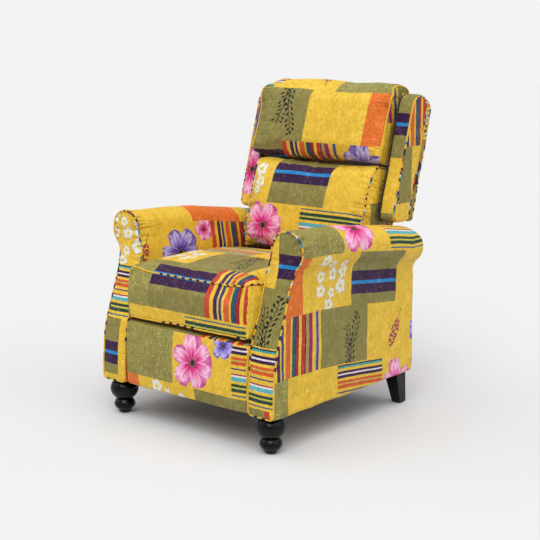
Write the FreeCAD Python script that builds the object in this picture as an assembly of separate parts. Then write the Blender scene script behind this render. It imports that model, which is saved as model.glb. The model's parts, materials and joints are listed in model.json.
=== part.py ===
"""Pushback recliner: a high-leg armchair whose seat glides forward as its footrest opens.

Millimetres. While it is built, x runs across the chair, y runs rearwards from the plane of the
arm fronts and z runs up from the floor. The finished pieces are moved so that the origin lies
on the floor under the middle of the whole chair.
"""
import FreeCAD, Part
import math
import os

V = FreeCAD.Vector

# Driving dimensions of the body
FOOT_HEIGHT = 110.0
SEAT_HALF = 251.0
SIDE_GAP = 2.0
ARM_CLEARANCE = 6.0
ARM_WIDTH = 94.0
BODY_DEPTH = 715.0
ARM_HEIGHT = 646.0
ARM_REAR_DROP = 62.0
ROLL_RADIUS = 60.0
ROLL_OVERHANG = 37.0
REAR_CORNER_RADIUS = 62.0
ARM_INNER = SEAT_HALF + ARM_CLEARANCE
ARM_OUTER = ARM_INNER + ARM_WIDTH
ROLL_CENTRE_X = ARM_OUTER + ROLL_OVERHANG - ROLL_RADIUS

# Seat
SEAT_RISE = 196.0
SEAT_RAIL_HEIGHT = 21.0
SEAT_FRONT = 4.0
SEAT_EDGE_HEIGHT = 150.0
SEAT_FRONT_LEAN = 5.0
SEAT_REAR_DROP = 22.0
SEAT_RAIL_FRONT = 62.0
FLANGE_FRONT = 78.0
DECK_THICKNESS = 1.0
SPRING_COUNT = 5
SPRING_WIRE = 1.9
SPRING_WIDTH = 56.0
SPRING_PITCH = 38.0
SPRING_SEAT = 3.0
SPRING_PLAY = 0.1
CLIP_HALF = 6.0
SEAT_RAIL_WIDTH = 38.0
RAIL_PLATE_GAP = 1.0
STILE_RAIL_GAP = 6.0
# Seat cushion: share of the half width, how far it is drawn in, lift of the top edge, crown
SEAT_SECTIONS = ((1.0, 5.0, 6.0, 14.0), (0.975, 2.0, 9.0, 18.0), (0.8, 0.0, 11.0, 24.0),
                 (0.3, 0.0, 11.0, 29.0))
SEAT_BASE_Z = FOOT_HEIGHT + SEAT_RISE

# Arm front panel
FACING_THICKNESS = 28.0
FACING_BEND_RISE = 72.0
FACING_LEAN = 88.0
FACING_TOP_DROP = 124.0
FACING_LIFT = 2.0
FACING_BEND_Z = FOOT_HEIGHT + FACING_BEND_RISE
FACING_TOP_BEND_Z = ARM_HEIGHT - FACING_TOP_DROP
FACING_BOTTOM = FOOT_HEIGHT + FACING_LIFT
# Where the lean starts and ends: share of the lean, rise from the bend
LEAN_START = (0.335, 164.0)
LEAN_START_MIDDLE = (0.085, 83.0)
LEAN_END = (0.92, -16.0)
LEAN_END_MIDDLE = (0.98, 4.0)
LEAN_TOP = (1.0, 24.0)

# Arm woodwork
PANEL_THICKNESS = 12.0
PANEL_SEAT = 1.0
FRAME_WIDTH = 53.0
POST_DEPTH = 48.0
REAR_POST_DEPTH = 40.0
REAR_COVER = 15.0
REAR_BOARD = 12.0
TOP_RAIL_HEIGHT = 40.0
BOTTOM_RAIL_HEIGHT = 38.0
SKIRT_RISE = 140.0
FRAME_OUTER = ARM_OUTER - PANEL_THICKNESS - PANEL_SEAT
FRAME_INNER = FRAME_OUTER - FRAME_WIDTH
REAR_POST_REAR = BODY_DEPTH - REAR_COVER
REAR_POST_FRONT = REAR_POST_REAR - REAR_POST_DEPTH
SKIRT_BOTTOM = FOOT_HEIGHT + SKIRT_RISE

# Back, in its own upright frame: u up the lean, v forward of the outer plane
BACK_LEAN = 16.06
BACK_SETBACK = 44.0
BACK_RISE = 66.0
BACK_HEIGHT = 640.0
BACK_PANEL = 18.0
PANEL_GAP = 2.0
STILE_INSET = 13.0
STILE_WIDTH = 38.0
STILE_DEPTH = 40.0
STILE_DROP = 16.0
BLOCK_INSET = 4.0
LOW_RAIL_LIFT = 55.0
LOW_RAIL_HEIGHT = 35.0
BACK_RAIL_HEIGHT = 40.0
CREASE_RAIL_DROP = 15.0
WEB_THICKNESS = 1.6
WEB_GAP = 0.4
SEAT_TUCK = 56.0
LUMBAR_HEIGHT = 298.0
CUSHION_DEPTH = 96.0
PILLOW_RISE = 23.0
WING_GAP = 5.0
WING_WIDTH = 66.0
WING_DEPTH = 112.0
WING_LIFT = 9.0
WING_DROP = 4.0
WING_CORNER = 46.0
WING_CHIN = 22.0
WING_CHIN_RADIUS = 22.0
WING_BOARD = 12.0
WING_BOARD_SHIFT = 6.0
SEAT_BACK_ROOM = 71.0
BACK_FOOT_Y = BODY_DEPTH - BACK_SETBACK
BACK_FOOT_Z = SEAT_BASE_Z + BACK_RISE
SEAT_REAR = BACK_FOOT_Y - SEAT_BACK_ROOM
STILE_OUTER = SEAT_HALF - STILE_INSET
STILE_INNER = STILE_OUTER - STILE_WIDTH
STILE_TOP = BACK_HEIGHT - STILE_DROP
FRAME_REAR = BACK_PANEL + PANEL_GAP
FRAME_FRONT = FRAME_REAR + STILE_DEPTH
CUSHION_REAR = FRAME_FRONT + WEB_THICKNESS + WEB_GAP
LUMBAR_BOTTOM = SEAT_EDGE_HEIGHT - SEAT_TUCK
CREASE = LUMBAR_BOTTOM + LUMBAR_HEIGHT
PILLOW_TOP = BACK_HEIGHT + PILLOW_RISE
WING_INNER = SEAT_HALF + WING_GAP
WING_OUTER = WING_INNER + WING_WIDTH
WING_REST_Z = ARM_HEIGHT - ARM_REAR_DROP + WING_LIFT
WING_BOTTOM = (WING_REST_Z - BACK_FOOT_Z) / math.cos(math.radians(BACK_LEAN))
WING_TOP = BACK_HEIGHT - WING_DROP
WING_BOARD_X = WING_OUTER - WING_BOARD_SHIFT - (WING_WIDTH + WING_BOARD) / 2
WING_TONGUE = 50.0
WING_TONGUE_LIFTS = (66.0, 270.0)
BACK_BOLT_HEIGHTS = (40.0, 105.0)
BAND_COUNT = 6
BAND_WIDTH = 50.0
BAND_MARGIN = 20.0
HINGE_EYE = 15.0
HINGE_NECK = 8.0
NECK_RISE = 10.0
BRACKET_MARGIN = 4.0
LEDGE_GAP = 1.0
# Back cushions and wings: share of the half width or distance from the face, drawn in by
CUSHION_SECTIONS = ((1.0, 9.0), (0.975, 2.5), (0.9, 0.0), (0.35, 0.0))
WING_INNER_SECTIONS = ((0.0, 8.0), (6.0, 1.0), (14.0, 0.0))
WING_OUTER_SECTIONS = ((12.0, 0.0), (4.0, 2.0), (0.0, 8.0))
LUMBAR_BULGE = 16.0
LUMBAR_LEAN = (-3.0, -5.0)
LUMBAR_CHIN = 32.0
LUMBAR_CHIN_RADIUS = 14.0
PILLOW_LEAN = (-1.0, -12.0)
PILLOW_BULGE = 2.0
BACK_BOLT_V = FRAME_REAR + STILE_DEPTH / 2

# Steelwork: sheet thickness, layers across the chair, and pin sizes
STEEL = 3.0
LAYER_STEP = 5.0
PIN_RADIUS = 5.0
PIN_HEAD_RADIUS = 8.0
PIN_HEAD = 1.4
PIN_PLAY = 0.1
TUBE_RADIUS = 9.0
TUBE_WALL = 2.0
RUN_CLEARANCE = 0.06
LINK_END = 10.5

# Swing links that carry the seat, and the steel rails that they stand on
SWING_LENGTH = 120.0
SWING_LEAN = 35.0
SWING_RISE = 45.0
SWING_FRONT_Y = 180.0
SWING_REAR_SETBACK = 120.0
RAIL_LEAD = 50.0
RAIL_TAIL = 80.0
RAIL_LIFT = 3.0
RAIL_TOP_RISE = 31.0
RAIL_BOLT_INSET = 20.0
BOLT_RADIUS = 4.0
SWING_PIVOT_Z = FOOT_HEIGHT + SWING_RISE
SWING_REAR_Y = SEAT_REAR - SWING_REAR_SETBACK
BASE_RAIL_FRONT = SWING_FRONT_Y - RAIL_LEAD
BASE_RAIL_REAR = SWING_REAR_Y + RAIL_TAIL
BASE_RAIL_TOP = SWING_PIVOT_Z + RAIL_TOP_RISE
RAIL_BOLT_DEPTHS = (BASE_RAIL_FRONT + RAIL_BOLT_INSET, BASE_RAIL_REAR - RAIL_BOLT_INSET)
RAIL_BOLT_Z = FOOT_HEIGHT + BOTTOM_RAIL_HEIGHT / 2

# Footrest linkage
MAIN_PIVOT_Y = 120.0
MAIN_PIVOT_DROP = 23.0
MAIN_LENGTH = 205.0
MAIN_ANGLE = 45.0
BOARD_PIVOT_STANDOFF = 16.0
BOARD_PIVOT_DROP = 89.0
CONTROL_SPACING = 42.0
TILT_CRANK = 15.0
TILT_CRANK_ANGLE = 84.1
TILT_ARM = 31.6
TILT_ARM_ANGLE = 132.0
TILT_CLEARANCE = 1.3
FOOTREST_RISE = 13.0
FOOTREST_DEPTH = 50.0
FOOTREST_BOARD = 14.0
FOOTREST_BOARD_INSET = 11.0
FOOTREST_BOARD_MARGIN = 4.0
# Footrest pad: distance from its end, how far it is drawn in
FOOTREST_SECTIONS = ((0.0, 7.0), (7.0, 2.0), (40.0, 0.0))
BRACKET_DOWN = 30.0
BRACKET_UP = 45.0
BRACKET_FLANGE = 28.0
BRACKET_END = 8.0
MAIN_PIVOT = (MAIN_PIVOT_Y, SEAT_BASE_Z - MAIN_PIVOT_DROP)
BOARD_PIVOT = (FOOTREST_DEPTH + BOARD_PIVOT_STANDOFF, SEAT_BASE_Z - BOARD_PIVOT_DROP)
FOOTREST_TOP = SEAT_BASE_Z + FOOTREST_RISE

# Back hinge
HINGE_LEAD = 31.0
HINGE_RISE = 54.0
HINGE = (BACK_FOOT_Y - HINGE_LEAD, SEAT_BASE_Z + HINGE_RISE)

# Feet, base rails and rear closing panel
FOOT_INSET = 20.0
TOE_RADIUS = 17.0
ANKLE_RADIUS = 22.5
ANKLE_RISE = 12.0
RING_RADIUS = 34.0
RING_RISE = 29.0
WAIST_RADIUS = 25.0
WAIST_RISE = 47.0
BULB_RADIUS = 45.5
BULB_DROP = 32.0
COLLAR_RADIUS = 28.0
TOE_SWELL, ANKLE_SWELL, RING_SWELL, BULB_SWELL = 0.8, 3.2, 1.6, 5.0
FOOT_BEHIND_FACING = 17.0
LEG_INSET = 27.0
LEG_TOP = 50.0
LEG_BOTTOM = 32.0
LEG_RAKE = 27.0
LEG_BEHIND_POST = 8.0
LEG_BOLT_BEHIND_POST = 14.0
GLIDE_HEIGHT = 3.0
BOLT_DEPTH = 45.0
BOLT_ABOVE = 30.0
CROSS_FRONT = 325.0
CROSS_DEPTH = 40.0
REAR_PANEL_GAP = 10.0
COVER_THICKNESS = 1.2
COVER_INSET = 30.0
COVER_REAR_GAP = 20.0
FRONT_GLIDE_RADIUS = 15.0
REAR_GLIDE_RADIUS = 13.0
FOOT_X = FRAME_INNER + FOOT_INSET
FOOT_Y = FACING_THICKNESS + FOOT_BEHIND_FACING
LEG_X = FRAME_INNER + LEG_INSET
LEG_TOP_Y = REAR_POST_FRONT + LEG_BEHIND_POST
REAR_BOLT_Y = REAR_POST_FRONT + LEG_BOLT_BEHIND_POST
REAR_PANEL_TOP = BACK_FOOT_Z - REAR_PANEL_GAP

# Clearances and the reach of tools that cut past the arm
SOFT_GAP = 0.3
SKIN_SEAT = 0.5
ROLL_SEAT = 3.0
HEADROOM = 60.0
CUT_REACH = 200.0


def layer(index):
    """Return the inner and outer x of one steel layer, counted inwards from the base rail."""
    outer = ARM_INNER - index * LAYER_STEP
    return outer - STEEL, outer


BASE_LAYER, SWING_LAYER, PLATE_LAYER, MAIN_LAYER, OTTOMAN_LAYER, CONTROL_LAYER = [
    layer(i) for i in range(6)]
BRACKET_LAYER = (STILE_OUTER, MAIN_LAYER[1])


def box(x0, x1, y0, y1, z0, z1):
    """Return a box between two corners."""
    return Part.makeBox(x1 - x0, y1 - y0, z1 - z0, V(x0, y0, z0))


def mirrored(shape):
    """Return the copy of a shape on the other side of the chair."""
    return shape.mirror(V(0, 0, 0), V(1, 0, 0))


def pair(shape):
    """Return one group of the shape and its mirror image."""
    return Part.makeCompound(solids(shape) + solids(mirrored(shape)))


def solids(*shapes):
    """Return the solids of several shapes in one list."""
    return [solid for shape in shapes for solid in shape.Solids]


def group(*shapes):
    """Return several shapes as one group of separate solids."""
    return Part.makeCompound(solids(*shapes))


def rod_x(point, radius, x0, x1):
    """Return a round bar across the chair at a (y, z) point."""
    return Part.makeCylinder(radius, x1 - x0, V(x0, point[0], point[1]), V(1, 0, 0))


def outline_yz(edges, x0, x1):
    """Return the side outline in edges, drawn at x = 0, as a plate from x0 to x1."""
    face = Part.Face(Part.Wire(Part.__sortEdges__(edges)))
    face.translate(V(x0, 0, 0))
    return face.extrude(V(x1 - x0, 0, 0))


def polygon_yz(points, x0, x1):
    """Return a plate with straight sides through (y, z) points."""
    corners = [V(x0, y, z) for y, z in points]
    face = Part.Face(Part.makePolygon(corners + corners[:1]))
    return face.extrude(V(x1 - x0, 0, 0))


def bar(start, end, half_width, x_span):
    """Return a flat bar with round ends about two (y, z) points."""
    dy, dz = end[0] - start[0], end[1] - start[1]
    length = math.hypot(dy, dz)
    ny, nz = -dz / length * half_width, dy / length * half_width
    sides = [(start[0] + ny, start[1] + nz), (end[0] + ny, end[1] + nz),
             (end[0] - ny, end[1] - nz), (start[0] - ny, start[1] - nz)]
    shape = polygon_yz(sides, *x_span)
    for point in (start, end):
        shape = shape.fuse(rod_x(point, half_width, *x_span))
    return shape.removeSplitter()


def drilled(shape, holes, x_span):
    """Cut round holes, each a (point, radius), through one layer."""
    for point, radius in holes:
        shape = shape.cut(rod_x(point, radius, x_span[0] - 1, x_span[1] + 1))
    return shape


def spacer(point, inner_layer, outer_layer):
    """Return the collar that keeps two neighbouring layers apart."""
    return rod_x(point, PIN_HEAD_RADIUS, inner_layer[1] + PIN_PLAY, outer_layer[0] - PIN_PLAY)


def polar(centre, radius, degrees):
    """Return the (y, z) point at an angle measured from straight ahead, turning upwards."""
    angle = math.radians(degrees)
    return centre[0] - radius * math.cos(angle), centre[1] + radius * math.sin(angle)


# Points of the footrest linkage when it is closed
ELBOW = polar(MAIN_PIVOT, MAIN_LENGTH, -(180 - MAIN_ANGLE))
OTTOMAN_SLOPE = math.degrees(math.atan2(BOARD_PIVOT[1] - ELBOW[1], ELBOW[0] - BOARD_PIVOT[0]))
CONTROL_PIVOT = polar(MAIN_PIVOT, -CONTROL_SPACING, OTTOMAN_SLOPE)
CONTROL_ELBOW = polar(ELBOW, -CONTROL_SPACING, OTTOMAN_SLOPE)
TILT_REAR = polar(ELBOW, TILT_CRANK, MAIN_ANGLE + TILT_CRANK_ANGLE)
TILT_FRONT = polar(BOARD_PIVOT, TILT_ARM, OTTOMAN_SLOPE + TILT_ARM_ANGLE)


def swing_top(foot_y):
    """Return the upper pivot of a swing link that stands on the base rail at foot_y."""
    lean = math.radians(SWING_LEAN)
    return foot_y + SWING_LENGTH * math.sin(lean), SWING_PIVOT_Z + SWING_LENGTH * math.cos(lean)


FRONT_TOP = swing_top(SWING_FRONT_Y)
REAR_TOP = swing_top(SWING_REAR_Y)


def arc(a, b, c):
    """Return the arc through three points."""
    return Part.Arc(a, b, c).toShape()


def line(a, b):
    """Return the straight edge between two points."""
    return Part.LineSegment(a, b).toShape()


def padded_wire(place, corners):
    """Return a closed soft outline.

    Each corner is (a, b, radius, bulge): its place in the plane, how far the corner is
    rounded, and how far the side from it to the next corner swells outwards.
    """
    count = len(corners)
    ends = []
    for i, (a, b, radius, _) in enumerate(corners):
        before, after = corners[i - 1], corners[(i + 1) % count]
        points = []
        for other in (before, after):
            length = math.hypot(other[0] - a, other[1] - b)
            points.append((a + (other[0] - a) * radius / length,
                           b + (other[1] - b) * radius / length))
        ends.append(points)
    edges = []
    blend = 0.586
    for i, (a, b, _, bulge) in enumerate(corners):
        first, last = ends[i]
        middle = [c + ((p + q) / 2 - c) * blend for p, q, c in zip(first, last, (a, b))]
        edges.append(arc(place(*first), place(*middle), place(*last)))
        following = ends[(i + 1) % count][0]
        if bulge == 0:
            edges.append(line(place(*last), place(*following)))
            continue
        length = math.hypot(following[0] - last[0], following[1] - last[1])
        side = ((following[1] - last[1]) / length, -(following[0] - last[0]) / length)
        swell = [(p + q) / 2 + bulge * n for p, q, n in zip(last, following, side)]
        edges.append(arc(place(*last), place(*swell), place(*following)))
    return Part.Wire(edges)


def at_x(x):
    """Return a placer of (y, z) points in the plane at x."""
    return lambda y, z: V(x, y, z)


def lofted_across(sections):
    """Return a pad from (x, corners) sections of its right half, from the end to the middle."""
    places = [(-x, corners) for x, corners in sections] + sections[::-1]
    return Part.makeLoft([padded_wire(at_x(x), corners) for x, corners in places], True, True)


def arm_crest(y):
    """Return the height of the arm roll's crest at depth y."""
    return ARM_HEIGHT - ARM_REAR_DROP * (y / BODY_DEPTH) ** 2


def roll_base(y):
    """Return the height at which the roll rests on the top rail."""
    return arm_crest(y) - 2 * ROLL_RADIUS - ROLL_SEAT


def facing_edges(offset, rise):
    """Return the side outline of the arm front surface moved rearwards by offset."""
    def spot(place, level):
        return V(0, offset + FACING_LEAN * place[0], level + place[1])

    bottom, bend = V(0, offset, 0), V(0, offset, FACING_BEND_Z)
    lean_start, lean_end = spot(LEAN_START, FACING_BEND_Z), spot(LEAN_END, FACING_TOP_BEND_Z)
    top_bend = spot(LEAN_TOP, FACING_TOP_BEND_Z)
    top = V(0, offset + FACING_LEAN - FACING_LIFT, rise)
    return [line(bottom, bend), arc(bend, spot(LEAN_START_MIDDLE, FACING_BEND_Z), lean_start),
            line(lean_start, lean_end),
            arc(lean_end, spot(LEAN_END_MIDDLE, FACING_TOP_BEND_Z), top_bend),
            line(top_bend, top)], bottom, top


def behind_front(offset, depth, x0, x1):
    """Return the slab that follows the arm front, from offset to offset + depth behind it."""
    rise = ARM_HEIGHT + HEADROOM
    front, bottom, top = facing_edges(offset, rise)
    rear, rear_bottom, rear_top = facing_edges(offset + depth, rise)
    return outline_yz(front + [line(top, rear_top)] + rear + [line(rear_bottom, bottom)], x0, x1)


def arm_section(y, gap):
    """Return the outline of the padded arm across the chair at depth y."""
    centre = arm_crest(y) - ROLL_RADIUS
    base = roll_base(y) + gap

    def spot(degrees, reach=1.0):
        angle = math.radians(degrees)
        return V(ROLL_CENTRE_X + reach * ROLL_RADIUS * math.cos(angle), y,
                 centre + reach * ROLL_RADIUS * math.sin(angle))

    inner = ARM_INNER + SKIN_SEAT
    skin = FRAME_INNER - gap
    neck = V(inner, y, centre - ROLL_RADIUS)
    return Part.Wire([
        arc(spot(-62), spot(-30), spot(0)), arc(spot(0), spot(45), spot(90)),
        arc(spot(90), spot(135), spot(180)),
        arc(spot(180), V(inner + 5, y, centre - 0.55 * ROLL_RADIUS), neck),
        line(neck, V(inner, y, SKIRT_BOTTOM)),
        line(V(inner, y, SKIRT_BOTTOM), V(skin, y, SKIRT_BOTTOM)),
        line(V(skin, y, SKIRT_BOTTOM), V(skin, y, base)),
        line(V(skin, y, base), V(spot(-62).x, y, base)),
        line(V(spot(-62).x, y, base), spot(-62))])


def arm_profile(x0, x1):
    """Return the arm's side profile with its rounded rear corner, as a wide block."""
    r = REAR_CORNER_RADIUS
    high = ARM_HEIGHT + HEADROOM
    crest = arm_crest(BODY_DEPTH - r)
    corner = V(0, BODY_DEPTH - r * (1 - math.sqrt(0.5)), crest - r * (1 - math.sqrt(0.5)))
    front = -CUT_REACH
    edges = [line(V(0, front, 0), V(0, front, high)),
             line(V(0, front, high), V(0, BODY_DEPTH - r, high)),
             line(V(0, BODY_DEPTH - r, high), V(0, BODY_DEPTH - r, crest)),
             arc(V(0, BODY_DEPTH - r, crest), corner, V(0, BODY_DEPTH, crest - r)),
             line(V(0, BODY_DEPTH, crest - r), V(0, BODY_DEPTH, 0)),
             line(V(0, BODY_DEPTH, 0), V(0, front, 0))]
    return outline_yz(edges, x0, x1)


def arm_padding():
    """Return the right arm's roll and inner pad."""
    depths = [0.0, BODY_DEPTH / 3, BODY_DEPTH * 2 / 3, BODY_DEPTH]
    loft = Part.makeLoft([arm_section(y, SOFT_GAP) for y in depths], True, False)
    reach = ARM_OUTER + ROLL_RADIUS
    pad = loft.cut(behind_front(-CUT_REACH, CUT_REACH + FACING_THICKNESS + SOFT_GAP, 0, reach))
    pad = pad.cut(box(0, ARM_OUTER, REAR_POST_REAR - SOFT_GAP, BODY_DEPTH + 1, 0,
                      roll_base(BODY_DEPTH)))
    return pad.common(arm_profile(0, reach))


def arm_facing():
    """Return the right arm's padded front panel."""
    centre = ARM_HEIGHT - ROLL_RADIUS
    inner = SEAT_HALF + SIDE_GAP
    front = -HEADROOM
    roll = ROLL_RADIUS + 1.0

    def spot(degrees):
        angle = math.radians(degrees)
        return V(ROLL_CENTRE_X + roll * math.cos(angle), front,
                 centre + roll * math.sin(angle))

    low_in, low_out = V(inner, front, FACING_BOTTOM), V(ARM_OUTER + 2, front, FACING_BOTTOM)
    neck_out = V(ARM_OUTER, front, centre - 1.7 * ROLL_RADIUS)
    neck_in = V(inner, front, centre - ROLL_RADIUS)
    wire = Part.Wire([
        line(low_in, low_out), line(low_out, neck_out),
        arc(neck_out, V(ARM_OUTER + 5, front, centre - 1.3 * ROLL_RADIUS), spot(-55)),
        arc(spot(-55), spot(-25), spot(0)), arc(spot(0), spot(45), spot(90)),
        arc(spot(90), spot(135), spot(180)),
        arc(spot(180), V(inner + 11, front, centre - 0.5 * ROLL_RADIUS), neck_in),
        line(neck_in, low_in)])
    blank = Part.Face(wire).extrude(V(0, BODY_DEPTH, 0))
    return blank.common(behind_front(0, FACING_THICKNESS, 0, ARM_OUTER + ROLL_RADIUS))


def outer_panel():
    """Return the right outer side panel, under the roll and behind the front panel."""
    top = [(y, roll_base(y) - SOFT_GAP) for y in (0, BODY_DEPTH / 3, BODY_DEPTH * 2 / 3, BODY_DEPTH)]
    sheet = polygon_yz([(0, FOOT_HEIGHT)] + top + [(BODY_DEPTH, FOOT_HEIGHT)],
                       ARM_OUTER - PANEL_THICKNESS, ARM_OUTER)
    return sheet.cut(behind_front(-CUT_REACH, CUT_REACH + FACING_THICKNESS + SOFT_GAP, 0,
                                  ARM_OUTER + ROLL_RADIUS))


def arm_posts():
    """Return the right arm's front and rear posts."""
    front = behind_front(FACING_THICKNESS, POST_DEPTH, FRAME_INNER, FRAME_OUTER)
    ceiling = roll_base(BODY_DEPTH / 4) - TOP_RAIL_HEIGHT
    front = front.common(box(0, ARM_OUTER, 0, BODY_DEPTH, FOOT_HEIGHT, ceiling))
    rear_top = roll_base(REAR_POST_REAR) - TOP_RAIL_HEIGHT
    rear = box(FRAME_INNER, FRAME_OUTER, REAR_POST_FRONT, REAR_POST_REAR, FOOT_HEIGHT, rear_top)
    return front, rear


def arm_top_rail():
    """Return the right arm's sloping top rail, which carries the roll."""
    depths = [FACING_THICKNESS, BODY_DEPTH / 4, BODY_DEPTH / 2, BODY_DEPTH * 3 / 4, REAR_POST_REAR]
    low = [roll_base(max(y, BODY_DEPTH / 4)) - TOP_RAIL_HEIGHT for y in depths]
    high = [roll_base(y) - ROLL_SEAT / 2 for y in depths]
    points = list(zip(depths, high)) + list(zip(depths, low))[::-1]
    rail = polygon_yz(points, FRAME_INNER, FRAME_OUTER)
    return rail.cut(behind_front(-CUT_REACH, CUT_REACH + FACING_THICKNESS, 0, ARM_OUTER))


def arm_bottom_rails():
    """Return both flat rails at the foot of the arms."""
    rail = box(ARM_INNER, FRAME_OUTER, FACING_THICKNESS + POST_DEPTH, REAR_POST_FRONT,
               FOOT_HEIGHT, FOOT_HEIGHT + BOTTOM_RAIL_HEIGHT)
    for y in RAIL_BOLT_DEPTHS:
        rail = rail.cut(rod_x((y, RAIL_BOLT_Z), BOLT_RADIUS, ARM_INNER, FRAME_INNER))
    return pair(rail)


def base_rail():
    """Return the right steel rail that the swing links stand on."""
    rail = box(BASE_LAYER[0], BASE_LAYER[1], BASE_RAIL_FRONT, BASE_RAIL_REAR,
               FOOT_HEIGHT + RAIL_LIFT, BASE_RAIL_TOP)
    holes = [((y, SWING_PIVOT_Z), PIN_RADIUS) for y in (SWING_FRONT_Y, SWING_REAR_Y)]
    holes += [((y, RAIL_BOLT_Z), BOLT_RADIUS) for y in RAIL_BOLT_DEPTHS]
    return drilled(rail, holes, BASE_LAYER)


def rail_bolts():
    """Return the bolts that hold the steel rails to the arms."""
    bolts = []
    for y in RAIL_BOLT_DEPTHS:
        bolt = rod_x((y, RAIL_BOLT_Z), BOLT_RADIUS, BASE_LAYER[0], FRAME_INNER - 2)
        head = rod_x((y, RAIL_BOLT_Z), 2 * BOLT_RADIUS, BASE_LAYER[0] - 2, BASE_LAYER[0])
        bolts.append(bolt.fuse(head))
    return pair(group(*bolts))


def base_pivot_pins():
    """Return the four pins on the base rails."""
    pins = []
    for y in (SWING_FRONT_Y, SWING_REAR_Y):
        point = (y, SWING_PIVOT_Z)
        shank = rod_x(point, PIN_RADIUS, SWING_LAYER[0], BASE_LAYER[1])
        inner = SWING_LAYER[0] - PIN_PLAY
        head = rod_x(point, PIN_HEAD_RADIUS, inner - PIN_HEAD, inner)
        neck = rod_x(point, PIN_RADIUS, inner, SWING_LAYER[0])
        pins.append(shank.fuse([neck, head, spacer(point, SWING_LAYER, BASE_LAYER)]))
    return pair(group(*pins))


def swing_link(foot_y, top_radius):
    """Return a right swing link with its lower running hole and its upper hole."""
    foot, top = (foot_y, SWING_PIVOT_Z), swing_top(foot_y)
    link = bar(foot, top, 1.3 * LINK_END, SWING_LAYER)
    return drilled(link, [(foot, PIN_RADIUS + RUN_CLEARANCE), (top, top_radius)], SWING_LAYER)


def torque_tube():
    """Return the tube that ties the front swing links and carries the seat."""
    end = SWING_LAYER[1]
    tube = rod_x(FRONT_TOP, TUBE_RADIUS, -end, end)
    return tube.cut(rod_x(FRONT_TOP, TUBE_RADIUS - TUBE_WALL, -end - 1, end + 1))


def seat_plate():
    """Return the right seat plate with its top flange and its rear hinge lug."""
    low = HINGE_EYE
    points = [(MAIN_PIVOT[0] - low, SEAT_BASE_Z), (MAIN_PIVOT[0] - low, MAIN_PIVOT[1] - low),
              (CONTROL_PIVOT[0], CONTROL_PIVOT[1] - low), (FRONT_TOP[0] - low, FRONT_TOP[1] - low),
              (REAR_TOP[0] + low, REAR_TOP[1] - low), (HINGE[0] + low, HINGE[1] - low),
              (HINGE[0] + low, HINGE[1] + low), (HINGE[0] - low, HINGE[1] + low),
              (SEAT_REAR + 6, SEAT_BASE_Z)]
    plate = polygon_yz(points, *PLATE_LAYER)
    flange = box(STILE_INNER + STILE_RAIL_GAP, PLATE_LAYER[0], FLANGE_FRONT, SEAT_REAR,
                 SEAT_BASE_Z - STEEL, SEAT_BASE_Z)
    front = box(PLATE_LAYER[0], PLATE_LAYER[1], FLANGE_FRONT, MAIN_PIVOT[0],
                SEAT_BASE_Z - STEEL, SEAT_BASE_Z)
    plate = plate.fuse([flange, front]).removeSplitter()
    holes = [(FRONT_TOP, TUBE_RADIUS + RUN_CLEARANCE), (REAR_TOP, PIN_RADIUS),
             (MAIN_PIVOT, PIN_RADIUS), (CONTROL_PIVOT, PIN_RADIUS), (HINGE, PIN_RADIUS)]
    return drilled(plate, holes, PLATE_LAYER)


def seat_pivot_pins():
    """Return the pins fixed in the seat plates: swing, footrest and back pivots."""
    play = PIN_PLAY
    pins = []
    outer = SWING_LAYER[1] + play
    swing = rod_x(REAR_TOP, PIN_RADIUS, PLATE_LAYER[0], outer)
    swing = swing.fuse([rod_x(REAR_TOP, PIN_HEAD_RADIUS, outer, outer + PIN_HEAD),
                        spacer(REAR_TOP, PLATE_LAYER, SWING_LAYER)])
    pins.append(swing)
    for point, moving in ((MAIN_PIVOT, MAIN_LAYER), (HINGE, BRACKET_LAYER)):
        inner = moving[0] - play
        turned = rod_x(point, PIN_RADIUS, inner, PLATE_LAYER[1])
        pins.append(turned.fuse([rod_x(point, PIN_HEAD_RADIUS, inner - PIN_HEAD, inner),
                                 spacer(point, moving, PLATE_LAYER)]))
    inner = CONTROL_LAYER[0] - play
    long_pin = rod_x(CONTROL_PIVOT, PIN_RADIUS, inner, PLATE_LAYER[1])
    stop = rod_x(CONTROL_PIVOT, PIN_RADIUS + 0.3, CONTROL_LAYER[1] + play, PLATE_LAYER[0])
    pins.append(long_pin.fuse([rod_x(CONTROL_PIVOT, PIN_HEAD_RADIUS, inner - PIN_HEAD, inner), stop]))
    return pair(group(*pins))


def main_link():
    """Return the right main link, with the ear that drives the tilt link."""
    link = bar(MAIN_PIVOT, ELBOW, LINK_END, MAIN_LAYER)
    link = link.fuse(bar(ELBOW, TILT_REAR, 0.8 * LINK_END, MAIN_LAYER)).removeSplitter()
    holes = [(MAIN_PIVOT, PIN_RADIUS + RUN_CLEARANCE), (ELBOW, PIN_RADIUS),
             (TILT_REAR, PIN_RADIUS - 1)]
    return drilled(link, holes, MAIN_LAYER)


def main_link_pins():
    """Return the pins fixed in the main links: elbow and tilt crank."""
    play = PIN_PLAY
    inner = OTTOMAN_LAYER[0]
    elbow = rod_x(ELBOW, PIN_RADIUS, inner, MAIN_LAYER[1])
    elbow = elbow.fuse(spacer(ELBOW, OTTOMAN_LAYER, MAIN_LAYER))
    outer = PLATE_LAYER[1] + play
    crank = rod_x(TILT_REAR, PIN_RADIUS - 1, MAIN_LAYER[0], outer)
    crank = crank.fuse([rod_x(TILT_REAR, PIN_RADIUS + 1, outer, outer + 1),
                        rod_x(TILT_REAR, PIN_RADIUS + 1, MAIN_LAYER[1], PLATE_LAYER[0] - play)])
    return pair(group(elbow, crank))


def control_link():
    """Return the right control link, parallel to the main link."""
    link = bar(CONTROL_PIVOT, CONTROL_ELBOW, 0.9 * LINK_END, CONTROL_LAYER)
    holes = [(CONTROL_PIVOT, PIN_RADIUS + RUN_CLEARANCE), (CONTROL_ELBOW, PIN_RADIUS + 0.5)]
    return drilled(link, holes, CONTROL_LAYER)


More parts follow.
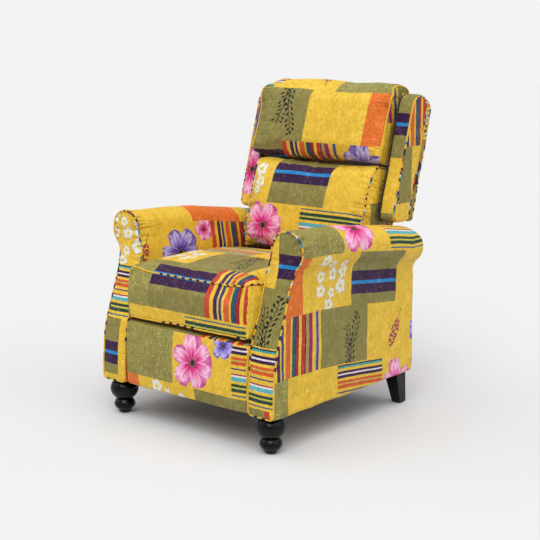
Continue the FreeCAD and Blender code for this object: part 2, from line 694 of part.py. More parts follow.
def ottoman_link():
    """Return the right ottoman link, which reaches forward to the footrest."""
    link = bar(CONTROL_ELBOW, BOARD_PIVOT, LINK_END, OTTOMAN_LAYER)
    holes = [(CONTROL_ELBOW, PIN_RADIUS), (ELBOW, PIN_RADIUS + RUN_CLEARANCE),
             (BOARD_PIVOT, PIN_RADIUS)]
    return drilled(link, holes, OTTOMAN_LAYER)


def ottoman_link_pins():
    """Return the pins fixed in the ottoman links: control elbow and footrest pivot."""
    play = PIN_PLAY
    inner = CONTROL_LAYER[0] - play
    rear = rod_x(CONTROL_ELBOW, PIN_RADIUS, inner, OTTOMAN_LAYER[1])
    rear = rear.fuse([rod_x(CONTROL_ELBOW, PIN_HEAD_RADIUS, inner - PIN_HEAD, inner),
                      spacer(CONTROL_ELBOW, CONTROL_LAYER, OTTOMAN_LAYER)])
    outer = MAIN_LAYER[1] + play
    front = rod_x(BOARD_PIVOT, PIN_RADIUS, OTTOMAN_LAYER[0], outer)
    front = front.fuse([rod_x(BOARD_PIVOT, PIN_HEAD_RADIUS, outer, outer + 1),
                        spacer(BOARD_PIVOT, OTTOMAN_LAYER, MAIN_LAYER)])
    return pair(group(rear, front))


def tilt_link():
    """Return the right tilt link, whose front hole has room for the opened pivot."""
    link = bar(TILT_REAR, TILT_FRONT, 0.85 * LINK_END, PLATE_LAYER)
    holes = [(TILT_REAR, PIN_RADIUS - 1 + RUN_CLEARANCE), (TILT_FRONT, PIN_RADIUS - 1 + TILT_CLEARANCE)]
    return drilled(link, holes, PLATE_LAYER)


def footrest_bracket():
    """Return the right bracket that carries the footrest board, with its tilt pin."""
    rear = FOOTREST_DEPTH
    middle = BOARD_PIVOT[1]
    low, high = middle - BRACKET_DOWN, middle + BRACKET_UP
    tip, lug = BRACKET_END, 1.5 * BRACKET_END
    web = polygon_yz([(rear, low), (rear, high), (TILT_FRONT[0] + tip, TILT_FRONT[1] + tip),
                      (TILT_FRONT[0] + tip, TILT_FRONT[1] - tip), (BOARD_PIVOT[0] + lug, middle - lug)],
                     *MAIN_LAYER)
    flange = box(MAIN_LAYER[0] - BRACKET_FLANGE, MAIN_LAYER[1], rear, rear + STEEL, low, high)
    bracket = web.fuse(flange).removeSplitter()
    bracket = drilled(bracket, [(BOARD_PIVOT, PIN_RADIUS + RUN_CLEARANCE)], MAIN_LAYER)
    outer = PLATE_LAYER[1] + PIN_PLAY
    tilt_pin = rod_x(TILT_FRONT, PIN_RADIUS - 1, MAIN_LAYER[1], outer)
    head = rod_x(TILT_FRONT, PIN_HEAD_RADIUS, outer, outer + 1)
    return bracket.fuse([tilt_pin, head])


def footrest_board():
    """Return the wooden board inside the footrest."""
    half = SEAT_HALF - FOOTREST_BOARD_INSET
    return box(-half, half, FOOTREST_DEPTH - FOOTREST_BOARD, FOOTREST_DEPTH,
               FACING_BOTTOM + FOOTREST_BOARD_MARGIN, FOOTREST_TOP - FOOTREST_BOARD_MARGIN)


def footrest_pad():
    """Return the upholstered front of the footrest, hollowed for its board."""
    sections = []
    for margin, inset in FOOTREST_SECTIONS:
        corners = [(inset + 3, FACING_BOTTOM + inset, 7, 0), (FOOTREST_DEPTH, FACING_BOTTOM + inset, 3, 0),
                   (FOOTREST_DEPTH, FOOTREST_TOP - inset, 3, 0), (inset + 3, FOOTREST_TOP - inset, 11, 3)]
        sections.append((SEAT_HALF - margin, corners))
    pad = lofted_across(sections)
    pocket = footrest_board().BoundBox
    return pad.cut(box(pocket.XMin - SOFT_GAP, pocket.XMax + SOFT_GAP, pocket.YMin - SOFT_GAP,
                       pocket.YMax + 10, pocket.ZMin - SOFT_GAP, pocket.ZMax + SOFT_GAP))


def seat_rails():
    """Return the wooden side rails and cross rails of the seat."""
    top = SEAT_BASE_Z + SEAT_RAIL_HEIGHT
    inner, outer = STILE_INNER + STILE_RAIL_GAP, PLATE_LAYER[0] - RAIL_PLATE_GAP
    depth = SEAT_RAIL_WIDTH
    side = pair(box(inner, outer, SEAT_RAIL_FRONT, SEAT_REAR, SEAT_BASE_Z, top))
    front = box(-inner, inner, SEAT_RAIL_FRONT, SEAT_RAIL_FRONT + depth, SEAT_BASE_Z, top)
    rear = box(-inner, inner, SEAT_REAR - depth, SEAT_REAR, SEAT_BASE_Z, top)
    return side, group(front, rear)


def spring_columns():
    """Return the x of each seat spring."""
    step = 2 * STILE_INNER / SPRING_COUNT
    return [-STILE_INNER + (i + 0.5) * step for i in range(SPRING_COUNT)]


SPRING_FRONT = SEAT_RAIL_FRONT + SEAT_RAIL_WIDTH + SPRING_SEAT
SPRING_REAR = SEAT_REAR - SEAT_RAIL_WIDTH - SPRING_SEAT
SPRING_Z = SEAT_BASE_Z + SEAT_RAIL_HEIGHT / 2
SPRING_LOOPS = 2 * round((SPRING_REAR - SPRING_FRONT) / SPRING_PITCH / 2)
SPRING_TURN = (SPRING_REAR - SPRING_FRONT) / SPRING_LOOPS / 2
SPRING_REACH = SPRING_WIDTH / 2 - SPRING_TURN


def seat_springs():
    """Return the zigzag springs that run from the front rail to the rear rail."""
    edges = [line(V(0, SPRING_FRONT, SPRING_Z), V(SPRING_REACH, SPRING_FRONT, SPRING_Z))]
    side = 1
    for i in range(SPRING_LOOPS):
        low = SPRING_FRONT + 2 * i * SPRING_TURN
        middle, high = low + SPRING_TURN, low + 2 * SPRING_TURN
        reach, tip = side * SPRING_REACH, side * (SPRING_REACH + SPRING_TURN)
        edges.append(arc(V(reach, low, SPRING_Z), V(tip, middle, SPRING_Z), V(reach, high, SPRING_Z)))
        end = 0.0 if i == SPRING_LOOPS - 1 else -reach
        edges.append(line(V(reach, high, SPRING_Z), V(end, high, SPRING_Z)))
        side = -side
    circle = Part.Wire(Part.makeCircle(SPRING_WIRE, V(0, SPRING_FRONT, SPRING_Z), V(1, 0, 0)))
    spring = Part.Wire(edges).makePipeShell([circle], True, False)
    copies = []
    for x in spring_columns():
        copy = spring.copy()
        copy.translate(V(x, 0, 0))
        copies.append(copy)
    return group(*copies)


def spring_clips():
    """Return the clips that seat the spring ends on the two cross rails."""
    clips = []
    for x in spring_columns():
        for y, rail, side in ((SPRING_FRONT, SPRING_FRONT - SPRING_SEAT, 1),
                              (SPRING_REAR, SPRING_REAR + SPRING_SEAT, -1)):
            near, far = sorted((x + side, x + side * (SPRING_REACH - 1)))
            inner = y + (y - rail) * 1.6
            clip = box(near, far, min(rail, inner), max(rail, inner), SPRING_Z - CLIP_HALF,
                       SPRING_Z + CLIP_HALF)
            clips.append(clip.cut(rod_x((y, SPRING_Z), SPRING_WIRE + SPRING_PLAY, near - 1, far + 1)))
    return group(*clips)


def seat_deck():
    """Return the cloth deck between the seat rails and the cushion."""
    low = SEAT_BASE_Z + SEAT_RAIL_HEIGHT
    return box(-STILE_OUTER, STILE_OUTER, SEAT_RAIL_FRONT, SEAT_REAR, low, low + DECK_THICKNESS)


def seat_cushion():
    """Return the seat cushion: crowned, with its ends drawn in."""
    low = SEAT_BASE_Z + SEAT_RAIL_HEIGHT + DECK_THICKNESS + SOFT_GAP
    high = low + SEAT_EDGE_HEIGHT
    sections = []
    for share, inset, lift, crown in SEAT_SECTIONS:
        corners = [(SEAT_FRONT + inset, low, 8, 0), (SEAT_REAR - inset - 6, low, 8, 3),
                   (SEAT_REAR - inset, high - SEAT_REAR_DROP + lift, 30, crown),
                   (SEAT_FRONT + SEAT_FRONT_LEAN + inset, high + lift, 9, 5)]
        sections.append((share * SEAT_HALF, corners))
    return lofted_across(sections)


def on_back(shape):
    """Lean a piece drawn upright, with y = -v and z = u, onto the back."""
    copy = shape.copy()
    copy.rotate(V(0, 0, 0), V(1, 0, 0), -BACK_LEAN)
    copy.translate(V(0, BACK_FOOT_Y, BACK_FOOT_Z))
    return copy


def back_point(y, z):
    """Return the (-v, u) place on the upright back of a (y, z) point of the chair."""
    lean = math.radians(BACK_LEAN)
    dy, dz = y - BACK_FOOT_Y, z - BACK_FOOT_Z
    return dy * math.cos(lean) - dz * math.sin(lean), dy * math.sin(lean) + dz * math.cos(lean)


def back_stile():
    """Return the right upright of the back frame."""
    stile = box(STILE_INNER, STILE_OUTER, -FRAME_FRONT, -FRAME_REAR, 0, STILE_TOP)
    for u in BACK_BOLT_HEIGHTS:
        stile = stile.cut(rod_x((-BACK_BOLT_V, u), BOLT_RADIUS, STILE_INNER - 1, STILE_OUTER + 1))
    return on_back(stile)


def back_rails():
    """Return the three cross rails of the back frame."""
    rails = []
    for low, height in ((LOW_RAIL_LIFT, LOW_RAIL_HEIGHT), (CREASE - CREASE_RAIL_DROP, BACK_RAIL_HEIGHT),
                        (STILE_TOP - BACK_RAIL_HEIGHT, BACK_RAIL_HEIGHT)):
        rails.append(box(-STILE_INNER, STILE_INNER, -FRAME_FRONT, -FRAME_REAR, low, low + height))
    return on_back(group(*rails))


def back_webbing():
    """Return the elastic bands stretched across the front of the back frame."""
    bands = []
    first = LUMBAR_BOTTOM + BAND_MARGIN
    step = (STILE_TOP - BAND_MARGIN - BAND_WIDTH - first) / (BAND_COUNT - 1)
    for i in range(BAND_COUNT):
        low = first + i * step
        bands.append(box(-STILE_OUTER, STILE_OUTER, -FRAME_FRONT - WEB_THICKNESS, -FRAME_FRONT,
                         low, low + BAND_WIDTH))
    return on_back(group(*bands))


def back_bracket():
    """Return the right steel bracket between the seat hinge and the back stile."""
    y, z = back_point(*HINGE)
    x_span = BRACKET_LAYER
    plate = box(x_span[0], x_span[1], -FRAME_FRONT + BRACKET_MARGIN, -FRAME_REAR - BRACKET_MARGIN,
                -PANEL_GAP, BACK_BOLT_HEIGHTS[1] + HINGE_EYE)
    neck = box(x_span[0], x_span[1], y - HINGE_NECK, y + HINGE_NECK, z, NECK_RISE)
    plate = plate.fuse([rod_x((y, z), HINGE_EYE, *x_span), neck])
    holes = [((y, z), PIN_RADIUS + RUN_CLEARANCE)]
    holes += [((-BACK_BOLT_V, u), BOLT_RADIUS) for u in BACK_BOLT_HEIGHTS]
    return on_back(drilled(plate.removeSplitter(), holes, x_span))


def back_bolts():
    """Return the bolts through the brackets and stiles."""
    bolts = []
    for u in BACK_BOLT_HEIGHTS:
        point = (-BACK_BOLT_V, u)
        bolts.append(rod_x(point, BOLT_RADIUS, STILE_INNER, MAIN_LAYER[1]).fuse(
            rod_x(point, 1.8 * BOLT_RADIUS, STILE_INNER - 3, STILE_INNER)))
    return on_back(pair(group(*bolts)))


def outer_back():
    """Return the outer back panel: narrow between the arms, wide behind the wings."""
    wide, narrow, neck = WING_OUTER, SEAT_HALF, WING_BOTTOM + 4
    r = WING_CORNER
    outline = [(-narrow, 0), (narrow, 0), (narrow, neck), (wide, neck), (wide, BACK_HEIGHT - r)]
    mirrored_side = [(-x, z) for x, z in outline[::-1][:-2]]
    edges = [line(V(a[0], 0, a[1]), V(b[0], 0, b[1])) for a, b in zip(outline, outline[1:])]
    k = r * (1 - math.sqrt(0.5))
    edges.append(arc(V(wide, 0, BACK_HEIGHT - r), V(wide - k, 0, BACK_HEIGHT - k),
                     V(wide - r, 0, BACK_HEIGHT)))
    edges.append(line(V(wide - r, 0, BACK_HEIGHT), V(-wide + r, 0, BACK_HEIGHT)))
    edges.append(arc(V(-wide + r, 0, BACK_HEIGHT), V(-wide + k, 0, BACK_HEIGHT - k),
                     V(-wide, 0, BACK_HEIGHT - r)))
    closing = mirrored_side + [outline[0]]
    edges += [line(V(a[0], 0, a[1]), V(b[0], 0, b[1])) for a, b in zip(closing, closing[1:])]
    panel = Part.Face(Part.Wire(edges)).extrude(V(0, -BACK_PANEL, 0))
    return on_back(panel)


def lumbar_cushion():
    """Return the lower back cushion: crowned forward, drawn in at its ends and its seams."""
    rear = CUSHION_REAR
    front = rear + CUSHION_DEPTH
    sections = []
    for share, inset in CUSHION_SECTIONS:
        low, high = LUMBAR_BOTTOM + inset / 4, CREASE - inset / 4
        corners = [(-rear, low, 4, 0), (-rear, high, 4, 0),
                   (-front - LUMBAR_LEAN[1] + inset, high, 42, LUMBAR_BULGE - inset / 4),
                   (-front - LUMBAR_LEAN[0] + inset, low - LUMBAR_CHIN, LUMBAR_CHIN_RADIUS, 0)]
        sections.append((share * SEAT_HALF, corners))
    return on_back(lofted_across(sections))


def head_pillow():
    """Return the head cushion, which rolls over the top rail of the frame."""
    rear = CUSHION_REAR
    front = rear + CUSHION_DEPTH
    over = FRAME_REAR + LEDGE_GAP
    ledge = STILE_TOP + LEDGE_GAP
    sections = []
    for share, inset in CUSHION_SECTIONS:
        low, high = CREASE + SOFT_GAP + inset / 4, PILLOW_TOP - inset / 2
        corners = [(-rear, low, 4, 0), (-rear, ledge, 3, 0), (-over, ledge, 4, 0), (-over, high, 12, 4),
                   (-front - PILLOW_LEAN[1] + inset, high, 72, PILLOW_BULGE),
                   (-front - PILLOW_LEAN[0] + inset, low, 26, 0)]
        sections.append((share * SEAT_HALF, corners))
    return on_back(lofted_across(sections))


def wing_outline(inset, rear):
    """Return the side outline of a wing as corners for a soft wire, set in by inset."""
    r = max(WING_CORNER - inset, 8)
    return [(-rear - inset, WING_TOP - inset, r, 0), (-rear - inset, WING_BOTTOM + inset, 12, 0),
            (-WING_DEPTH + inset, WING_BOTTOM - WING_CHIN + inset, WING_CHIN_RADIUS, 0),
            (-WING_DEPTH + inset, WING_TOP - inset, r, 0)]


def wing_board(gap=0.0):
    """Return the right wing's plywood board and its two mounting blocks."""
    x0, x1 = WING_BOARD_X, WING_BOARD_X + WING_BOARD
    wire = padded_wire(at_x(x0 - gap), wing_outline(12 - gap, BACK_PANEL))
    board = Part.Face(wire).extrude(V(x1 - x0 + 2 * gap, 0, 0))
    blocks = []
    for low in (WING_BOTTOM + lift for lift in WING_TONGUE_LIFTS):
        blocks.append(box(STILE_OUTER if gap == 0 else STILE_OUTER - WING_GAP, x0 + 1,
                          -FRAME_FRONT + BLOCK_INSET - gap, -FRAME_REAR - BLOCK_INSET + gap,
                          low - gap, low + WING_TONGUE + gap))
    return on_back(board.fuse(blocks).removeSplitter())


def wing_pad():
    """Return the right wing's upholstery, hollowed for its board."""
    sections = []
    rear = BACK_PANEL + 0.5
    places = [(WING_INNER + margin, inset) for margin, inset in WING_INNER_SECTIONS]
    places += [(WING_OUTER - margin, inset) for margin, inset in WING_OUTER_SECTIONS]
    for x, inset in places:
        sections.append(padded_wire(at_x(x), wing_outline(inset, rear)))
    pad = on_back(Part.makeLoft(sections, True, True))
    return pad.cut(wing_board(SOFT_GAP))


def front_foot():
    """Return the right turned front foot."""
    centre, toe = V(0, 0, GLIDE_HEIGHT), V(TOE_RADIUS, 0, GLIDE_HEIGHT)
    ankle, ring = V(ANKLE_RADIUS, 0, ANKLE_RISE), V(RING_RADIUS, 0, RING_RISE)
    waist, bulb = V(WAIST_RADIUS, 0, WAIST_RISE), V(BULB_RADIUS, 0, FOOT_HEIGHT - BULB_DROP)
    collar, top = V(COLLAR_RADIUS, 0, FOOT_HEIGHT), V(0, 0, FOOT_HEIGHT)

    def swell(low, high, out):
        middle = (low + high) / 2
        return arc(low, V(middle.x + out, 0, middle.z), high)

    edges = [line(centre, toe), swell(toe, ankle, TOE_SWELL), swell(ankle, ring, ANKLE_SWELL),
             swell(ring, waist, RING_SWELL), swell(waist, bulb, BULB_SWELL),
             swell(bulb, collar, BULB_SWELL), line(collar, top), line(top, centre)]
    foot = Part.Face(Part.Wire(edges)).revolve(V(0, 0, 0), V(0, 0, 1), 360)
    foot = foot.Solids[0]
    foot.translate(V(FOOT_X, FOOT_Y, 0))
    return foot.cut(foot_bolt_at(FOOT_X, FOOT_Y))


def foot_bolt_at(x, y):
    """Return one hanger bolt between a foot and the frame above it."""
    return Part.makeCylinder(BOLT_RADIUS, BOLT_DEPTH + BOLT_ABOVE, V(x, y, FOOT_HEIGHT - BOLT_DEPTH),
                             V(0, 0, 1))


def rear_leg():
    """Return the right rear leg: square, tapered and raked back."""
    def square(size, y, z):
        half = size / 2
        corners = [V(LEG_X + a * half, y + b * half, z) for a, b in ((-1, -1), (1, -1), (1, 1), (-1, 1))]
        return Part.makePolygon(corners + corners[:1])

    low, high = GLIDE_HEIGHT, FOOT_HEIGHT
    leg = Part.makeLoft([square(LEG_BOTTOM, LEG_TOP_Y + LEG_RAKE, low), square(LEG_TOP, LEG_TOP_Y, high)],
                        True, True)
    return leg.cut(foot_bolt_at(LEG_X, REAR_BOLT_Y))


def foot_bolts():
    """Return the four hanger bolts."""
    return pair(group(foot_bolt_at(FOOT_X, FOOT_Y), foot_bolt_at(LEG_X, REAR_BOLT_Y)))


def floor_glides():
    """Return the four round glides under the feet."""
    front = Part.makeCylinder(FRONT_GLIDE_RADIUS, GLIDE_HEIGHT, V(FOOT_X, FOOT_Y, 0))
    rear = Part.makeCylinder(REAR_GLIDE_RADIUS, GLIDE_HEIGHT, V(LEG_X, LEG_TOP_Y + LEG_RAKE, 0))
    return pair(group(front, rear))


def bored_posts(front, rear):
    """Cut the holes for the hanger bolts in the two posts of an arm."""
    return group(front.cut(foot_bolt_at(FOOT_X, FOOT_Y)), rear.cut(foot_bolt_at(LEG_X, REAR_BOLT_Y)))


def base_cross_rails():
    """Return the two wooden rails across the base."""
    inner = BASE_LAYER[0]
    top = FOOT_HEIGHT + BOTTOM_RAIL_HEIGHT
    front = box(-inner, inner, CROSS_FRONT, CROSS_FRONT + CROSS_DEPTH, FOOT_HEIGHT, top)
    rear = box(-ARM_INNER, ARM_INNER, REAR_POST_FRONT - CROSS_DEPTH, REAR_POST_FRONT, FOOT_HEIGHT, top)
    return group(front, rear)


def rear_panel():
    """Return the low rear panel between the arms."""
    board = box(-ARM_INNER, ARM_INNER, REAR_POST_REAR - REAR_BOARD, BODY_DEPTH, FOOT_HEIGHT,
                REAR_PANEL_TOP)
    rail = box(-ARM_INNER, ARM_INNER, REAR_POST_FRONT, REAR_POST_REAR - REAR_BOARD, FOOT_HEIGHT,
               FOOT_HEIGHT + BOTTOM_RAIL_HEIGHT)
    return board.fuse(rail).removeSplitter()


def arm_rear_panels():
    """Return the upright panels that close the rear ends of the arms."""
    top = roll_base(BODY_DEPTH) - SOFT_GAP
    return pair(box(ARM_INNER + SKIN_SEAT, ARM_OUTER - PANEL_THICKNESS - SOFT_GAP, REAR_POST_REAR,
                    BODY_DEPTH - 1, FOOT_HEIGHT, top))


def dust_cover():
    """Return the thin cloth under the base, behind the sweep of the footrest links."""
    half = FRAME_OUTER - COVER_INSET
    return box(-half, half, CROSS_FRONT, REAR_POST_FRONT - COVER_REAR_GAP, FOOT_HEIGHT - COVER_THICKNESS,
               FOOT_HEIGHT)


def chair():
    """Return every piece of the chair by its node name."""
    parts = {}

    def both(name, shape):
        parts[name + "_right"] = shape
        parts[name + "_left"] = mirrored(shape)

    both("arm_padding", arm_padding())
    both("arm_facing", arm_facing())
    both("outer_side_panel", outer_panel())
    both("arm_posts", bored_posts(*arm_posts()))
    both("arm_top_rail", arm_top_rail())
    parts["arm_bottom_rails"] = arm_bottom_rails()
    both("mechanism_base_rail", base_rail())
    both("front_foot", front_foot())
    both("rear_leg", rear_leg())
    parts["foot_bolts"] = foot_bolts()
    parts["floor_glides"] = floor_glides()
    parts["base_cross_rails"] = base_cross_rails()
    parts["rear_panel"] = rear_panel()
    parts["arm_rear_panels"] = arm_rear_panels()
    parts["dust_cover"] = dust_cover()
    parts["rail_bolts"] = rail_bolts()
    parts["base_pivot_pins"] = base_pivot_pins()
    parts["front_swing_links"] = pair(swing_link(SWING_FRONT_Y, TUBE_RADIUS))
    parts["torque_tube"] = torque_tube()
    parts["rear_swing_links"] = pair(swing_link(SWING_REAR_Y, PIN_RADIUS + RUN_CLEARANCE))
    both("seat_plate", seat_plate())
    parts["seat_side_rails"], parts["seat_cross_rails"] = seat_rails()
    parts["seat_springs"] = seat_springs()
    parts["spring_clips"] = spring_clips()
    parts["seat_deck"] = seat_deck()
    parts["seat_cushion"] = seat_cushion()
    parts["seat_pivot_pins"] = seat_pivot_pins()
    parts["footrest_main_links"] = pair(main_link())
    parts["main_link_pins"] = main_link_pins()
    parts["footrest_control_links"] = pair(control_link())
    parts["ottoman_links"] = pair(ottoman_link())
    parts["ottoman_link_pins"] = ottoman_link_pins()
    parts["tilt_links"] = pair(tilt_link())
    parts["footrest_board"] = footrest_board()
    parts["footrest_pad"] = footrest_pad()
    parts["footrest_brackets"] = pair(footrest_bracket())
    parts["back_brackets"] = pair(back_bracket())
    both("back_stile", back_stile())
    parts["back_rails"] = back_rails()
    parts["back_webbing"] = back_webbing()
    parts["back_bolts"] = back_bolts()
    parts["lumbar_cushion"] = lumbar_cushion()
    parts["head_pillow"] = head_pillow()
    both("wing_board", wing_board())
    both("wing_pad", wing_pad())
    parts["outer_back_panel"] = outer_back()
    return parts


def origin_shift(parts):
    """Return the move that puts the middle of the whole chair's footprint at the origin."""
    box_all = FreeCAD.BoundBox()
    for shape in parts.values():
        box_all.add(shape.optimalBoundingBox(False, False))
    return V(0, -(box_all.YMin + box_all.YMax) / 2, -box_all.ZMin)


def main():
    """Write one STEP file per piece."""
    os.makedirs("parts", exist_ok=True)
    parts = chair()
    shift = origin_shift(parts)
    for name, shape in parts.items():
        piece = shape.copy()
        piece.translate(shift)
        piece.exportStep("parts/" + name + ".step")
    print("pieces", len(parts), "shift", round(shift.y, 4), round(shift.z, 4))


if __name__ == "__main__":
    main()
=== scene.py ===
"""Pushback recliner in patchwork velvet: its covers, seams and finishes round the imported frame."""
import json
import logging
import math
from dataclasses import dataclass, field
from enum import Enum
from typing import Callable, Optional, Union

import bmesh
import bpy
import numpy as np
from mathutils import Matrix, Vector, noise
from mathutils.bvhtree import BVHTree
from mathutils.kdtree import KDTree


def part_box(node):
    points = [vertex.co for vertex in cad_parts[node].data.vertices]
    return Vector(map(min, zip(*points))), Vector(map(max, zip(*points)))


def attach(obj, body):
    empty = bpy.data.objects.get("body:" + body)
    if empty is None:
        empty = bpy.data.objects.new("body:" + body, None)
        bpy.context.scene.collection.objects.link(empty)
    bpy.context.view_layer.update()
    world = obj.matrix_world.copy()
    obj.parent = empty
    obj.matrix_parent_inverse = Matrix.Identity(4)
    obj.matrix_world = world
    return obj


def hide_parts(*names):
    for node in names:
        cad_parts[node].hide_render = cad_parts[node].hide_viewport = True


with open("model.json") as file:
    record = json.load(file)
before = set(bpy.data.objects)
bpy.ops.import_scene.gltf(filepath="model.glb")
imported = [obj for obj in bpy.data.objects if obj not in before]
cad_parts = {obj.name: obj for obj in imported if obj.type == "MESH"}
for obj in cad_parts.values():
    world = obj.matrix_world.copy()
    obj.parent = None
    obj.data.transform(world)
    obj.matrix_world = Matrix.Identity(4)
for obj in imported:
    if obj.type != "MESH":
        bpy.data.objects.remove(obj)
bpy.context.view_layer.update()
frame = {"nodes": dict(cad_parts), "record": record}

Tree, Node, Socket = bpy.types.NodeTree, bpy.types.Node, bpy.types.NodeSocket
Material, Mesh, Object, BMesh = bpy.types.Material, bpy.types.Mesh, bpy.types.Object, bmesh.types.BMesh
Source = Union[Node, Socket]
Tones = list[tuple[float, str]]
Station = tuple[Vector, Vector]

LOG = logging.getLogger("recliner")
CLOTH = "cloth"
X, Y, Z = 0, 1, 2
FRONT = Vector((0, -1, 0))
# How far a seam's line stands off the skin, and the smallest length that a direction is divided by
SEAM_LIFT = 0.0008
TINY = 1e-9
# The back's lean, the foot of its front plane, and its way forward
BACK_LEAN = math.radians(16.06)
BACK_FOOT = Vector((0, 0.2472, 0.372))
BACK_FORWARD = Vector((0, -math.cos(BACK_LEAN), math.sin(BACK_LEAN)))


class Side(Enum):
    """The two sides of the chair, as the sign of x."""

    RIGHT = 1
    LEFT = -1

    @property
    def word(self) -> str:
        """Return the side's name as the nodes write it."""
        return self.name.lower()


def linear(code: str) -> tuple[float, float, float, float]:
    """Turn an sRGB hex colour to linear.

    Args:
        code: Six hex digits.
    Returns:
        Linear red, green, blue and an alpha of 1.
    """
    parts = [int(code[i:i + 2], 16) / 255 for i in (0, 2, 4)]
    toned = [p / 12.92 if p <= 0.04045 else ((p + 0.055) / 1.055) ** 2.4 for p in parts]
    return (*toned, 1.0)


def add(tree: Tree, kind: str, settings: dict, inputs: dict) -> Node:
    """Add one shader node.

    Args:
        tree: Where the node goes.
        kind: The node's type without its ShaderNode prefix.
        settings: Its attributes.
        inputs: By name or number, a value, a socket, or a node whose first output is linked.
    Returns:
        The new node.
    """
    node = tree.nodes.new("ShaderNode" + kind)
    for name, value in settings.items():
        setattr(node, name, value)
    feed(tree, node, inputs)
    return node


def feed(tree: Tree, node: Node, inputs: dict) -> None:
    """Give a node's sockets their links and values.

    Args:
        tree: Where the node is.
        node: The node.
        inputs: By name or number, a value, a socket, or a node whose first output is linked.
    """
    for key, value in inputs.items():
        source = value.outputs[0] if isinstance(value, Node) else value
        if isinstance(source, Socket):
            tree.links.new(source, node.inputs[key])
        else:
            node.inputs[key].default_value = source


def started(name: str) -> tuple[Material, Tree, Node]:
    """Start a material.

    Args:
        name: Its name.
    Returns:
        The material, its node tree and the shader in it.
    """
    made = bpy.data.materials.new(name)
    made.use_nodes = True
    return made, made.node_tree, made.node_tree.nodes["Principled BSDF"]


def stops(ramp: Node, colours: Tones, mode: str = "LINEAR") -> Node:
    """Fill a colour ramp with (place, hex colour) stops and return it.

    Args:
        ramp: The colour ramp.
        colours: Its (place, hex colour) stops.
        mode: How it blends between them.
    Returns:
        The ramp.
    """
    band = ramp.color_ramp
    band.interpolation = mode
    while len(band.elements) < len(colours):
        band.elements.new(0.5)
    for element, (place, code) in zip(band.elements, colours):
        element.position = place
        element.color = linear(code)
    return ramp


def levels(ramp: Node, values: list[float]) -> Node:
    """Fill a colour ramp with equal steps of grey and return it.

    Args:
        ramp: The colour ramp.
        values: The grey of each step.
    Returns:
        The ramp.
    """
    band = ramp.color_ramp
    band.interpolation = "CONSTANT"
    while len(band.elements) < len(values):
        band.elements.new(0.5)
    for i, (element, value) in enumerate(zip(band.elements, values)):
        element.position = i / len(values)
        element.color = (value, value, value, 1.0)
    return ramp


class Patch(Enum):
    """What one patch of the print shows."""

    PLAIN = 0
    ROSE = 1
    IRIS = 2
    BLOSSOM = 3
    SCROLL = 4
    SPRIG = 5
    ORANGE = 6
    ROWS = 7
    COLUMNS = 8
    BAND = 9
    BERRIES = 10


